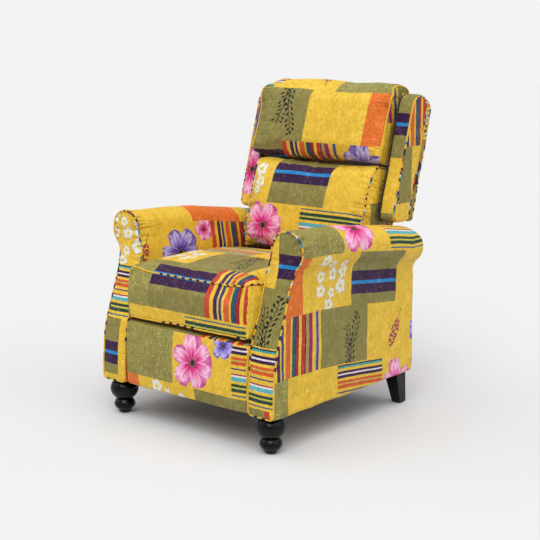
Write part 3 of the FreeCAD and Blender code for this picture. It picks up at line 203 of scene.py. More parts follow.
@dataclass(frozen=True)
class PatchPrint:
    """The printed design: patches of mustard, olive and orange with stripes, blooms and sprigs.

    It lies in metres on the cloth, which every cover carries as its UV map.
    """

    width: float = 0.236
    height: float = 0.178
    shift: float = 0.085
    kinds: int = 10
    layout: tuple[tuple[Patch, ...], ...] = (
        (Patch.ROWS, Patch.ROSE, Patch.SCROLL, Patch.PLAIN),
        (Patch.SPRIG, Patch.BERRIES, Patch.IRIS, Patch.COLUMNS),
        (Patch.BLOSSOM, Patch.BAND, Patch.PLAIN, Patch.ORANGE),
        (Patch.SCROLL, Patch.ROSE, Patch.ROWS, Patch.BERRIES),
        (Patch.PLAIN, Patch.ORANGE, Patch.BLOSSOM, Patch.SPRIG),
        (Patch.COLUMNS, Patch.IRIS, Patch.SCROLL, Patch.BAND),
    )
    mustard: str = "DCB53A"
    olive: str = "837B42"
    orange: str = "D56C2A"
    ink: str = "14131D"
    scroll_line: str = "BDB75E"
    plum: str = "33173F"
    blue: str = "1F7FBE"

    def build(self) -> Tree:
        """Return the node group: cloth position in, colour out.

        Returns:
            The node group.
        """
        tree = bpy.data.node_groups.new("patchwork_print", "ShaderNodeTree")
        tree.interface.new_socket("Cloth", in_out="INPUT", socket_type="NodeSocketVector")
        tree.interface.new_socket("Color", in_out="OUTPUT", socket_type="NodeSocketColor")
        inlet = tree.nodes.new("NodeGroupInput")
        outlet = tree.nodes.new("NodeGroupOutput")
        cell, kind, chance = self._cells(tree, inlet.outputs[0])
        colour = self._ground(tree, kind, inlet.outputs[0])
        colour = self._stripes(tree, kind, colour, cell)
        colour = self._band(tree, kind, colour, cell)
        colour = self._blossoms(tree, kind, colour, cell)
        colour = self._berries(tree, kind, colour, cell)
        colour = self._blooms(tree, kind, colour, cell, chance)
        colour = self._sprig(tree, kind, colour, cell)
        tree.links.new(colour, outlet.inputs[0])
        return tree

    def _cells(self, tree: Tree, cloth: Socket) -> tuple[Socket, Socket, Socket]:
        """Return the place in the patch from its middle, the patch's kind and its random vector.

        Args:
            tree: Where the nodes go.
            cloth: The place on the cloth.
        Returns:
            The place, the kind as a share of 1, and the random vector.
        """
        across = add(tree, "SeparateXYZ", {}, {0: cloth})
        row = add(tree, "Math", {"operation": "DIVIDE"}, {0: across.outputs[1], 1: self.height})
        row = add(tree, "Math", {"operation": "FLOOR"}, {0: row})
        slid = add(tree, "Math", {"operation": "MULTIPLY_ADD"}, {0: row, 1: self.shift, 2: across.outputs[0]})
        column = add(tree, "Math", {"operation": "DIVIDE"}, {0: slid, 1: self.width})
        column = add(tree, "Math", {"operation": "FLOOR"}, {0: column})
        lower_u = add(tree, "Math", {"operation": "MULTIPLY_ADD"},
                      {0: column, 1: self.width, 2: self.width / 2})
        lower_v = add(tree, "Math", {"operation": "MULTIPLY_ADD"},
                      {0: row, 1: self.height, 2: self.height / 2})
        local_u = add(tree, "Math", {"operation": "SUBTRACT"}, {0: slid, 1: lower_u})
        local_v = add(tree, "Math", {"operation": "SUBTRACT"}, {0: across.outputs[1], 1: lower_v})
        cell = add(tree, "CombineXYZ", {}, {0: local_u, 1: local_v})
        columns, rows = len(self.layout[0]), len(self.layout)
        in_row = add(tree, "Math", {"operation": "FLOORED_MODULO"}, {0: column, 1: float(columns)})
        in_column = add(tree, "Math", {"operation": "FLOORED_MODULO"}, {0: row, 1: float(rows)})
        place = add(tree, "Math", {"operation": "MULTIPLY_ADD"}, {0: in_column, 1: float(columns), 2: in_row})
        chance = add(tree, "TexWhiteNoise", {"noise_dimensions": "1D"}, {"W": place})
        place = add(tree, "Math", {"operation": "ADD"}, {0: place, 1: 0.5})
        place = add(tree, "Math", {"operation": "DIVIDE"}, {0: place, 1: float(columns * rows)})
        flat = [patch.value / self.kinds for line in self.layout for patch in line]
        kind = levels(add(tree, "ValToRGB", {}, {0: place}), flat)
        return cell.outputs[0], kind.outputs[0], chance.outputs["Color"]

    def _is(self, tree: Tree, kind: Socket, patch: Patch) -> Node:
        """Return a node that is 1 on patches of one kind."""
        return add(tree, "Math", {"operation": "COMPARE"}, {0: kind, 1: patch.value / self.kinds, 2: 0.03})

    def _laid(self, tree: Tree, mask: Source, below: object, above: object) -> Socket:
        """Return one colour, a socket or a constant, laid over another where the mask is 1."""
        return add(tree, "Mix", {"data_type": "RGBA"}, {0: mask, 6: below, 7: above}).outputs[2]

    def _ground(self, tree: Tree, kind: Socket, cloth: Socket) -> Socket:
        """Return the patch grounds: mustard, olive with thin curling lines, and orange.

        Args:
            tree: Where the nodes go.
            kind: The patch's kind, as a share of 1.
            cloth: The place on the cloth.
        Returns:
            The colour.
        """
        curl = add(tree, "TexNoise", {"noise_dimensions": "2D"},
                   {"Vector": cloth, "Scale": 24.0, "Detail": 1.2, "Distortion": 1.8})
        turns = add(tree, "Math", {"operation": "MULTIPLY"}, {0: curl, 1: 12.0})
        turns = add(tree, "Math", {"operation": "FRACT"}, {0: turns})
        line = add(tree, "Math", {"operation": "COMPARE"}, {0: turns, 1: 0.5, 2: 0.11})
        scroll = self._is(tree, kind, Patch.SCROLL)
        sprig = self._is(tree, kind, Patch.SPRIG)
        green = add(tree, "Math", {"operation": "MAXIMUM"}, {0: scroll, 1: sprig})
        curled = add(tree, "Math", {"operation": "MULTIPLY"}, {0: line, 1: scroll})
        curled = add(tree, "Math", {"operation": "MULTIPLY"}, {0: curled, 1: 0.75})
        orange = self._is(tree, kind, Patch.ORANGE)
        colour = self._laid(tree, green, linear(self.mustard), linear(self.olive))
        colour = self._laid(tree, curled, colour, linear(self.scroll_line))
        return self._laid(tree, orange, colour, linear(self.orange))

    def _stripes(self, tree: Tree, kind: Socket, colour: Socket, cell: Socket) -> Socket:
        """Lay the narrow stripes across one kind of patch and the broad ones along another.

        Args:
            tree: Where the nodes go.
            kind: The patch's kind, as a share of 1.
            colour: What it is laid on.
            cell: The place in the patch.
        Returns:
            The colour with the stripes.
        """
        place = add(tree, "SeparateXYZ", {}, {0: cell})
        rise = add(tree, "MapRange", {}, {0: place.outputs[1], 1: -self.height / 2, 2: self.height / 2})
        ground = self.mustard
        narrow = [(0.0, ground), (0.04, "2E5F78"), (0.065, ground), (0.11, "1F4233"), (0.17, "B9B14B"),
                  (0.20, "1F4233"), (0.25, ground), (0.30, "53A9B4"), (0.365, "DCD3CC"), (0.395, "981F48"),
                  (0.42, ground), (0.49, "333C70"), (0.515, ground), (0.57, "C9532A"), (0.63, "B9B14B"),
                  (0.655, "C9532A"), (0.70, ground), (0.75, self.plum), (0.80, "DDD1D6"), (0.825, self.plum),
                  (0.87, ground), (0.92, "3B978E"), (0.955, self.plum), (0.98, ground)]
        across = stops(add(tree, "ValToRGB", {}, {0: rise}), narrow, "CONSTANT")
        broad = [(0.0, "BF4029"), (0.08, ground), (0.14, "43204F"), (0.20, ground), (0.23, "31376F"),
                 (0.27, ground), (0.31, "CC5D2C"), (0.40, ground), (0.43, "1F5551"), (0.48, "31376F"),
                 (0.51, "95271F"), (0.56, ground), (0.61, "B53029"), (0.68, self.plum), (0.70, "A08F4B"),
                 (0.76, "961F5F"), (0.83, ground), (0.90, "45438C"), (0.95, ground)]
        span = add(tree, "MapRange", {}, {0: place.outputs[0], 1: -self.width / 2, 2: self.width / 2})
        along = stops(add(tree, "ValToRGB", {}, {0: span}), broad, "CONSTANT")
        colour = self._laid(tree, self._is(tree, kind, Patch.ROWS), colour, across.outputs[0])
        return self._laid(tree, self._is(tree, kind, Patch.COLUMNS), colour, along.outputs[0])

    def _band(self, tree: Tree, kind: Socket, colour: Socket, cell: Socket) -> Socket:
        """Lay a broad plum band with a blue line along its middle.

        Args:
            tree: Where the nodes go.
            kind: The patch's kind, as a share of 1.
            colour: What it is laid on.
            cell: The place in the patch.
        Returns:
            The colour with the band.
        """
        place = add(tree, "SeparateXYZ", {}, {0: cell})
        band = add(tree, "Math", {"operation": "COMPARE"}, {0: place.outputs[1], 1: -0.02, 2: 0.036})
        core = add(tree, "Math", {"operation": "COMPARE"}, {0: place.outputs[1], 1: -0.02, 2: 0.0055})
        here = self._is(tree, kind, Patch.BAND)
        band = add(tree, "Math", {"operation": "MULTIPLY"}, {0: band, 1: here})
        core = add(tree, "Math", {"operation": "MULTIPLY"}, {0: core, 1: here})
        colour = self._laid(tree, here, colour, linear(self.olive))
        colour = self._laid(tree, band, colour, linear(self.plum))
        return self._laid(tree, core, colour, linear(self.blue))

    def _petals(self, tree: Tree, local: Node, count: int, turn: float,
                depth: float) -> tuple[Socket, Socket, Socket]:
        """Shape one ring of petals.

        Args:
            tree: Where the nodes go.
            local: The place from the flower's middle, in flower radii.
            count: How many petals.
            turn: How far the ring is turned, in petals.
            depth: How deep the notches between the petals are, in radii.
        Returns:
            How far out in its petal a place is (1 at the edge), how far aside of its middle, and
            its angle round the flower.
        """
        reach = add(tree, "VectorMath", {"operation": "LENGTH"}, {0: local})
        split = add(tree, "SeparateXYZ", {}, {0: local})
        angle = add(tree, "Math", {"operation": "ARCTAN2"}, {0: split.outputs[1], 1: split.outputs[0]})
        sector = add(tree, "Math", {"operation": "MULTIPLY_ADD"}, {0: angle, 1: count / math.tau, 2: turn})
        number = add(tree, "Math", {"operation": "FLOOR"}, {0: sector})
        own = add(tree, "TexWhiteNoise", {"noise_dimensions": "1D"}, {"W": number})
        size = add(tree, "MapRange", {}, {0: own.outputs[0], 3: 0.84, 4: 1.0})
        aside = add(tree, "Math", {"operation": "SUBTRACT"},
                    {0: add(tree, "Math", {"operation": "FRACT"}, {0: sector}), 1: 0.5})
        aside = add(tree, "Math", {"operation": "ABSOLUTE"}, {0: aside})
        rounded = add(tree, "Math", {"operation": "POWER"}, {0: aside, 1: 2.8})
        edge = add(tree, "Math", {"operation": "MULTIPLY_ADD"}, {0: rounded, 1: -6.9 * depth, 2: size})
        frill = add(tree, "TexNoise", {"noise_dimensions": "1D"}, {"W": sector, "Scale": 4.5, "Detail": 2.0})
        edge = add(tree, "Math", {"operation": "MULTIPLY_ADD"}, {0: frill, 1: 0.14, 2: edge})
        share = add(tree, "Math", {"operation": "DIVIDE"},
                    {0: reach.outputs["Value"],
                     1: add(tree, "Math", {"operation": "MAXIMUM"}, {0: edge, 1: 0.05})})
        return share.outputs[0], aside.outputs[0], angle.outputs[0]

    def _ring(self, tree: Tree, local: Node, count: int, turn: float, depth: float, tones: list[Tones],
              second: Source) -> tuple[Socket, Socket]:
        """Colour one ring of petals.

        Args:
            tree: Where the nodes go.
            local: The place from the flower's middle, in flower radii.
            count: How many petals.
            turn: How far the ring is turned, in petals.
            depth: How deep the notches between the petals are, in radii.
            tones: The colours from middle to edge of the two kinds of flower.
            second: 1 where the flower is of the second kind.
        Returns:
            The mask and the colour.
        """
        share, aside, angle = self._petals(tree, local, count, turn, depth)
        reach = add(tree, "VectorMath", {"operation": "LENGTH"}, {0: local})
        drawn = add(tree, "Math", {"operation": "MULTIPLY"}, {0: angle, 1: 6.0})
        veins = add(tree, "TexNoise", {"noise_dimensions": "2D"},
                    {"Vector": add(tree, "CombineXYZ", {}, {0: drawn, 1: reach.outputs["Value"]}),
                     "Scale": 2.2, "Detail": 3.0, "Distortion": 0.3})
        streak = add(tree, "Math", {"operation": "MULTIPLY_ADD"}, {0: veins, 1: 0.8, 2: -0.4})
        fold = add(tree, "Math", {"operation": "MULTIPLY_ADD"}, {0: aside, 1: -0.55, 2: 0.1})
        tone = add(tree, "Math", {"operation": "ADD"}, {0: share, 1: streak})
        tone = add(tree, "Math", {"operation": "ADD"}, {0: tone, 1: fold})
        kinds = [stops(add(tree, "ValToRGB", {}, {0: tone}), colours) for colours in tones]
        colour = self._laid(tree, second, kinds[0].outputs[0], kinds[1].outputs[0])
        inside = add(tree, "Math", {"operation": "LESS_THAN"}, {0: share, 1: 1.0})
        return inside.outputs[0], colour

    def _flower(self, tree: Tree, colour: Socket, cell: Socket, chance: Socket, here: Source,
                second: Source, middle: tuple[float, float, float], radius: float) -> Socket:
        """Lay one flower of two rings of petals.

        Args:
            tree: Where the nodes go.
            colour: What it is laid on.
            cell: The place in the patch.
            chance: The patch's random vector, which turns the flower.
            here: 1 on patches that have the flower.
            second: 1 where it is of the second kind.
            middle: Its middle in the patch.
            radius: Its radius.
        Returns:
            The colour with the flower.
        """
        local = add(tree, "VectorMath", {"operation": "SUBTRACT"}, {0: cell, 1: middle})
        local = add(tree, "VectorMath", {"operation": "SCALE"}, {0: local, "Scale": 1 / radius})
        spin = add(tree, "SeparateXYZ", {}, {0: chance})
        spin = add(tree, "Math", {"operation": "MULTIPLY"}, {0: spin.outputs[0], 1: math.tau})
        local = add(tree, "VectorRotate", {"rotation_type": "Z_AXIS"}, {"Vector": local, "Angle": spin})
        rose = [(0.0, "9C0F52"), (0.28, "C81B70"), (0.44, "DD4F96"), (0.6, "E88DBB"), (0.85, "F0C4DA"),
                (1.0, "DC7FB0")]
        iris = [(0.0, "271F55"), (0.28, "4E3C9A"), (0.46, "7864BE"), (0.64, "A091D6"), (0.86, "C5BBE6"),
                (1.0, "6354A4")]
        deep_rose = [(0.0, "7E0C42"), (0.34, "AE155F"), (0.55, "CB3B84"), (0.8, "DC7AAE"), (1.0, "BC3F80")]
        deep_iris = [(0.0, "1F1947"), (0.34, "3E3086"), (0.55, "614EB0"), (0.8, "8A7ACB"), (1.0, "514196")]
        under, below = self._ring(tree, local, 5, 0.3, 0.42, [deep_rose, deep_iris], second)
        over, above = self._ring(tree, local, 6, 0.0, 0.62, [rose, iris], second)
        reach = add(tree, "VectorMath", {"operation": "LENGTH"}, {0: local})
        rim = add(tree, "TexNoise", {"noise_dimensions": "2D"},
                  {"Vector": local, "Scale": 16.0, "Detail": 1.0})
        speckled = add(tree, "Math", {"operation": "MULTIPLY_ADD"}, {0: rim, 1: 0.16, 2: 0.06})
        stamens = add(tree, "Math", {"operation": "LESS_THAN"}, {0: reach.outputs["Value"], 1: speckled})
        eye = add(tree, "Math", {"operation": "LESS_THAN"}, {0: reach.outputs["Value"], 1: 0.1})
        flower = self._laid(tree, over, below, above)
        flower = self._laid(tree, stamens, flower, linear("6E6030"))
        flower = self._laid(tree, eye, flower, linear("262B33"))
        mask = add(tree, "Math", {"operation": "MAXIMUM"}, {0: over, 1: under})
        mask = add(tree, "Math", {"operation": "MULTIPLY"}, {0: mask, 1: here})
        return self._laid(tree, mask, colour, flower)

    def _blooms(self, tree: Tree, kind: Socket, colour: Socket, cell: Socket, chance: Socket) -> Socket:
        """Lay a large bloom and a small one, both cut by the patch's edge, on the flower patches.

        Args:
            tree: Where the nodes go.
            kind: The patch's kind, as a share of 1.
            colour: What it is laid on.
            cell: The place in the patch.
            chance: The patch's random vector.
        Returns:
            The colour with the blooms.
        """
        is_rose = self._is(tree, kind, Patch.ROSE)
        is_iris = self._is(tree, kind, Patch.IRIS)
        here = add(tree, "Math", {"operation": "MAXIMUM"}, {0: is_rose, 1: is_iris})
        colour = self._flower(tree, colour, cell, chance, here, is_rose, (0.083, 0.06, 0.0), 0.042)
        return self._flower(tree, colour, cell, chance, here, is_iris, (-0.035, -0.01, 0.0), 0.086)

    def _blossoms(self, tree: Tree, kind: Socket, colour: Socket, cell: Socket) -> Socket:
        """Scatter white five-petalled blossoms of several sizes in a loose round heap.

        Args:
            tree: Where the nodes go.
            kind: The patch's kind, as a share of 1.
            colour: What it is laid on.
            cell: The place in the patch.
        Returns:
            The colour with the blossoms.
        """
        pitch = 0.047
        grid = add(tree, "TexVoronoi", {"voronoi_dimensions": "2D"},
                   {"Vector": cell, "Scale": 1 / pitch, "Randomness": 0.5})
        spot = grid.outputs["Position"]
        from_spot = add(tree, "VectorMath", {"operation": "SUBTRACT"}, {0: cell, 1: spot})
        from_spot = add(tree, "VectorMath", {"operation": "SCALE"}, {0: from_spot, "Scale": 1 / pitch})
        chance = add(tree, "SeparateXYZ", {}, {0: grid.outputs["Color"]})
        spin = add(tree, "Math", {"operation": "MULTIPLY"}, {0: chance.outputs[0], 1: math.tau})
        from_spot = add(tree, "VectorRotate", {"rotation_type": "Z_AXIS"},
                        {"Vector": from_spot, "Angle": spin})
        size = add(tree, "MapRange", {}, {0: chance.outputs[1], 3: 2.9, 4: 1.75})
        sized = add(tree, "VectorMath", {"operation": "SCALE"}, {0: from_spot, "Scale": size})
        share, _, _ = self._petals(tree, sized, 5, 0.0, 0.34)
        inside = add(tree, "Math", {"operation": "LESS_THAN"}, {0: share, 1: 1.0})
        away = add(tree, "VectorMath", {"operation": "LENGTH"}, {0: spot})
        heap = add(tree, "Math", {"operation": "LESS_THAN"}, {0: away.outputs["Value"], 1: 0.082})
        mask = add(tree, "Math", {"operation": "MULTIPLY"}, {0: inside, 1: heap})
        mask = add(tree, "Math", {"operation": "MULTIPLY"}, {0: mask, 1: self._is(tree, kind, Patch.BLOSSOM)})
        petal = stops(add(tree, "ValToRGB", {}, {0: share}),
                      [(0.0, "8F7A2B"), (0.14, "CDBC4F"), (0.36, "DBD7A6"), (0.62, "E2E0D8"), (0.9, "D9D6CE"),
                       (1.0, "B9B2A0")])
        return self._laid(tree, mask, colour, petal.outputs[0])

    def _berries(self, tree: Tree, kind: Socket, colour: Socket, cell: Socket) -> Socket:
        """Hang a bunch of small plum and red berries on a bent stalk.

        Args:
            tree: Where the nodes go.
            kind: The patch's kind, as a share of 1.
            colour: What it is laid on.
            cell: The place in the patch.
        Returns:
            The colour with the berries.
        """
        place = add(tree, "SeparateXYZ", {}, {0: cell})
        lean = add(tree, "Math", {"operation": "MULTIPLY_ADD"},
                   {0: place.outputs[1], 1: -0.45, 2: place.outputs[0]})
        lean = add(tree, "Math", {"operation": "ADD"}, {0: lean, 1: -0.035})
        rise = add(tree, "Math", {"operation": "ADD"}, {0: place.outputs[1], 1: 0.012})
        wide = add(tree, "Math", {"operation": "MULTIPLY"}, {0: lean, 1: 2.1})
        oval = add(tree, "CombineXYZ", {}, {0: wide, 1: rise})
        bunch = add(tree, "VectorMath", {"operation": "LENGTH"}, {0: oval})
        inside = add(tree, "Math", {"operation": "LESS_THAN"}, {0: bunch.outputs["Value"], 1: 0.046})
        grid = add(tree, "TexVoronoi", {"voronoi_dimensions": "2D"},
                   {"Vector": cell, "Scale": 1 / 0.0095, "Randomness": 0.8})
        berry = add(tree, "Math", {"operation": "LESS_THAN"}, {0: grid.outputs["Distance"], 1: 0.46})
        shade = add(tree, "SeparateXYZ", {}, {0: grid.outputs["Color"]})
        tone = stops(add(tree, "ValToRGB", {}, {0: shade.outputs[0]}),
                     [(0.0, "6E1E52"), (0.4, "8C2450"), (0.7, "A5332F"), (1.0, "B8482B")])
        off = add(tree, "Math", {"operation": "ABSOLUTE"}, {0: lean})
        stalk = add(tree, "Math", {"operation": "LESS_THAN"}, {0: off, 1: 0.0012})
        low = add(tree, "Math", {"operation": "GREATER_THAN"}, {0: place.outputs[1], 1: -0.02})
        high = add(tree, "Math", {"operation": "LESS_THAN"}, {0: place.outputs[1], 1: 0.066})
        stalk = add(tree, "Math", {"operation": "MULTIPLY"}, {0: stalk, 1: low})
        stalk = add(tree, "Math", {"operation": "MULTIPLY"}, {0: stalk, 1: high})
        here = self._is(tree, kind, Patch.BERRIES)
        stalk = add(tree, "Math", {"operation": "MULTIPLY"}, {0: stalk, 1: here})
        mask = add(tree, "Math", {"operation": "MULTIPLY"}, {0: inside, 1: berry})
        mask = add(tree, "Math", {"operation": "MULTIPLY"}, {0: mask, 1: here})
        colour = self._laid(tree, stalk, colour, linear("5B3A2A"))
        return self._laid(tree, mask, colour, tone.outputs[0])

    def _sprig(self, tree: Tree, kind: Socket, colour: Socket, cell: Socket) -> Socket:
        """Lay dark swaying stems with small round leaves in pairs, as a silhouette.

        Args:
            tree: Where the nodes go.
            kind: The patch's kind, as a share of 1.
            colour: What it is laid on.
            cell: The place in the patch.
        Returns:
            The colour with the stems.
        """
        for shift, sway_size, top, pitch, leaf_size in ((0.045, 0.013, 0.07, 0.0172, 0.0049),
                                                        (0.012, -0.008, 0.03, 0.0143, 0.0038)):
            place = add(tree, "SeparateXYZ", {}, {0: cell})
            sway = add(tree, "Math", {"operation": "MULTIPLY"}, {0: place.outputs[1], 1: 29.0})
            sway = add(tree, "Math", {"operation": "SINE"}, {0: sway})
            aside = add(tree, "Math", {"operation": "MULTIPLY_ADD"},
                        {0: sway, 1: -sway_size, 2: place.outputs[0]})
            aside = add(tree, "Math", {"operation": "SUBTRACT"}, {0: aside, 1: shift})
            off = add(tree, "Math", {"operation": "ABSOLUTE"}, {0: aside})
            stem = add(tree, "Math", {"operation": "LESS_THAN"}, {0: off, 1: 0.0012})
            side = add(tree, "Math", {"operation": "SIGN"}, {0: aside})
            lift = add(tree, "Math", {"operation": "MULTIPLY_ADD"}, {0: off, 1: -0.7, 2: place.outputs[1]})
            lift = add(tree, "Math", {"operation": "MULTIPLY_ADD"}, {0: side, 1: pitch * 0.22, 2: lift})
            step = add(tree, "Math", {"operation": "DIVIDE"}, {0: lift, 1: pitch})
            number = add(tree, "Math", {"operation": "FLOOR"}, {0: step})
            step = add(tree, "Math", {"operation": "FRACT"}, {0: step})
            height = add(tree, "Math", {"operation": "MULTIPLY_ADD"}, {0: step, 1: pitch, 2: -pitch / 2})
            key = add(tree, "Math", {"operation": "MULTIPLY_ADD"}, {0: side, 1: 0.37, 2: number})
            own = add(tree, "TexWhiteNoise", {"noise_dimensions": "1D"}, {"W": key})
            reach = add(tree, "MapRange", {}, {0: own.outputs[0], 3: 0.006, 4: 0.015})
            out = add(tree, "Math", {"operation": "SUBTRACT"}, {0: off, 1: reach})
            leaf = add(tree, "VectorMath", {"operation": "LENGTH"},
                       {0: add(tree, "CombineXYZ", {}, {0: out, 1: height})})
            leaf = add(tree, "Math", {"operation": "LESS_THAN"}, {0: leaf.outputs["Value"], 1: leaf_size})
            stalk = add(tree, "Math", {"operation": "ABSOLUTE"}, {0: height})
            stalk = add(tree, "Math", {"operation": "LESS_THAN"}, {0: stalk, 1: 0.0007})
            near = add(tree, "Math", {"operation": "LESS_THAN"}, {0: off, 1: reach})
            stalk = add(tree, "Math", {"operation": "MULTIPLY"}, {0: stalk, 1: near})
            mark = add(tree, "Math", {"operation": "MAXIMUM"}, {0: stem, 1: leaf})
            mark = add(tree, "Math", {"operation": "MAXIMUM"}, {0: mark, 1: stalk})
            tip = add(tree, "Math", {"operation": "LESS_THAN"}, {0: place.outputs[1], 1: top})
            mark = add(tree, "Math", {"operation": "MULTIPLY"}, {0: mark, 1: tip})
            here = self._is(tree, kind, Patch.SPRIG)
            mark = add(tree, "Math", {"operation": "MULTIPLY"}, {0: mark, 1: here})
            colour = self._laid(tree, mark, colour, linear(self.ink))
        return colour


@dataclass(frozen=True)
class CrushedVelvet:
    """Printed polyester velvet with a crushed pile.

    The pile lies brushed in wandering strokes, so the cloth is streaked light and dark and has
    hardly any gloss. Its brightest strokes are mixed towards pale cream, a painted glint. A few rubbed spots
    are darker.
    """

    name: str = "patchwork_velvet"
    patch_mm: float = 38.0
    streak_mm: float = 5.4
    stain_mm: float = 30.0

    def material(self, print_group: Tree) -> Material:
        """Return the cloth with its print.

        Args:
            print_group: The printed design.
        Returns:
            The material.
        """
        made, tree, skin = started(self.name)
        cloth = add(tree, "UVMap", {"uv_map": CLOTH}, {})
        colour = add(tree, "Group", {"node_tree": print_group}, {0: cloth})
        warp = add(tree, "TexNoise", {"noise_dimensions": "2D"},
                   {"Vector": cloth, "Scale": 1000 / self.patch_mm, "Detail": 2.0})
        warp = add(tree, "VectorMath", {"operation": "SUBTRACT"},
                   {0: warp.outputs["Color"], 1: (0.5, 0.5, 0.5)})
        warp = add(tree, "VectorMath", {"operation": "SCALE"}, {0: warp, "Scale": self.patch_mm / 900})
        bent = add(tree, "VectorMath", {"operation": "ADD"}, {0: cloth, 1: warp})
        drawn = add(tree, "Mapping", {},
                    {"Vector": bent, "Rotation": (0.0, 0.0, 0.35), "Scale": (1.0, 0.36, 1.0)})
        streak = add(tree, "TexNoise", {"noise_dimensions": "2D"},
                     {"Vector": drawn, "Scale": 1000 / self.streak_mm, "Detail": 3.0, "Roughness": 0.62,
                      "Distortion": 0.5})
        cloud = add(tree, "TexNoise", {"noise_dimensions": "2D"},
                    {"Vector": bent, "Scale": 1000 / self.patch_mm, "Detail": 3.0, "Roughness": 0.6})
        upright = add(tree, "Mapping", {}, {"Vector": cloth, "Scale": (2.2, 1.0, 1.0)})
        stain = add(tree, "TexNoise", {"noise_dimensions": "2D"},
                    {"Vector": upright, "Scale": 1000 / self.stain_mm, "Detail": 4.0, "Roughness": 0.7,
                     "Distortion": 0.8})
        pile = add(tree, "Math", {"operation": "MULTIPLY_ADD"}, {0: cloud, 1: 0.55, 2: streak})
        shade = add(tree, "MapRange", {"interpolation_type": "SMOOTHSTEP"},
                    {0: pile, 1: 0.52, 2: 1.03, 3: 0.85, 4: 1.17})
        spotted = add(tree, "MapRange", {}, {0: stain, 1: 0.6, 2: 0.75, 3: 0.0, 4: 0.5})
        toned = add(tree, "VectorMath", {"operation": "SCALE"}, {0: colour, "Scale": shade})
        brown = add(tree, "VectorMath", {"operation": "MULTIPLY"}, {0: toned, 1: (0.66, 0.5, 0.42)})
        rubbed = add(tree, "Mix", {"data_type": "RGBA"}, {0: spotted, 6: toned, 7: brown})
        # Painted highlight: where the pile is brightest the colour is mixed towards pale cream as a painted
        # glint
        painted_glint_mask = add(tree, "MapRange", {"interpolation_type": "SMOOTHSTEP"},
                  {0: pile, 1: 0.84, 2: 1.1, 3: 0.0, 4: 0.1})
        painted_glint = add(tree, "Mix", {"data_type": "RGBA"}, {0: painted_glint_mask, 6: rubbed.outputs[2], 7: linear("FFF3CF")})
        bump = add(tree, "Bump", {}, {"Height": pile, "Strength": 0.85, "Distance": 0.0018})
        gloss = add(tree, "MapRange", {}, {0: pile, 1: 0.55, 2: 1.0, 3: 0.55, 4: 0.38})
        feed(tree, skin, {"Base Color": painted_glint.outputs[2], "Normal": bump, "Roughness": gloss,
                          "Specular IOR Level": 0.14, "Sheen Weight": 0.07, "Sheen Roughness": 0.4,
                          "Sheen Tint": linear("FFE7A6")})
        return made


@dataclass(frozen=True)
class PipingCloth:
    """The same velvet cut into narrow strips, so stretches of the piping are dashed, others plain."""

    name: str = "velvet_piping"
    ground: str = "DCB23A"
    dash_mm: float = 7.5
    stretch_mm: float = 150.0

    def material(self) -> Material:
        """Return the piping's cloth.

        U runs along the cord in metres, and V picks dense (0) or even (1) dashes.

        Returns:
            The material.
        """
        made, tree, skin = started(self.name)
        cloth = add(tree, "UVMap", {"uv_map": CLOTH}, {})
        place = add(tree, "SeparateXYZ", {}, {0: cloth})
        dash = add(tree, "Math", {"operation": "DIVIDE"}, {0: place.outputs[0], 1: self.dash_mm / 1000})
        dash = add(tree, "Math", {"operation": "FLOOR"}, {0: dash})
        pick = add(tree, "TexWhiteNoise", {"noise_dimensions": "1D"}, {"W": dash})
        dense = stops(add(tree, "ValToRGB", {}, {0: pick.outputs[0]}),
                      [(0.0, self.ground), (0.34, "261634"), (0.50, "3B978E"), (0.60, "C75F2E"),
                       (0.69, "D8CBD0"), (0.78, "1F4233"), (0.85, "2B5F98"), (0.93, "9A2C5E")], "CONSTANT")
        beat = add(tree, "Math", {"operation": "DIVIDE"}, {0: place.outputs[0], 1: self.dash_mm * 4 / 1000})
        beat = add(tree, "Math", {"operation": "FRACT"}, {0: beat})
        beat = add(tree, "Math", {"operation": "LESS_THAN"}, {0: beat, 1: 0.42})
        even = add(tree, "Mix", {"data_type": "RGBA"}, {0: beat, 6: linear(self.ground), 7: linear("33173F")})
        stretch = add(tree, "Math", {"operation": "DIVIDE"}, {0: place.outputs[0], 1: self.stretch_mm / 1000})
        stretch = add(tree, "Math", {"operation": "FLOOR"}, {0: stretch})
        sort = add(tree, "TexWhiteNoise", {"noise_dimensions": "1D"},
                   {"W": add(tree, "Math", {"operation": "ADD"}, {0: stretch, 1: 61.0})})
        dashed = add(tree, "Math", {"operation": "LESS_THAN"}, {0: place.outputs[1], 1: 0.5})
        plain = add(tree, "Math", {"operation": "GREATER_THAN"}, {0: sort.outputs[0], 1: 0.62})
        colour = add(tree, "Mix", {"data_type": "RGBA"}, {0: dashed, 6: even.outputs[2], 7: dense.outputs[0]})
        colour = add(tree, "Mix", {"data_type": "RGBA"},
                     {0: plain, 6: colour.outputs[2], 7: linear(self.ground)})
        rub = add(tree, "TexNoise", {}, {"Vector": add(tree, "TexCoord", {}, {}).outputs["Object"],
                                         "Scale": 420.0, "Detail": 2.0})
        shade = add(tree, "MapRange", {}, {0: rub, 1: 0.3, 2: 0.7, 3: 0.8, 4: 1.12})
        toned = add(tree, "VectorMath", {"operation": "SCALE"}, {0: colour.outputs[2], "Scale": shade})
        bump = add(tree, "Bump", {}, {"Height": rub, "Strength": 0.3, "Distance": 0.0006})
        feed(tree, skin, {"Base Color": toned, "Normal": bump, "Roughness": 0.55, "Specular IOR Level": 0.2})
        return made


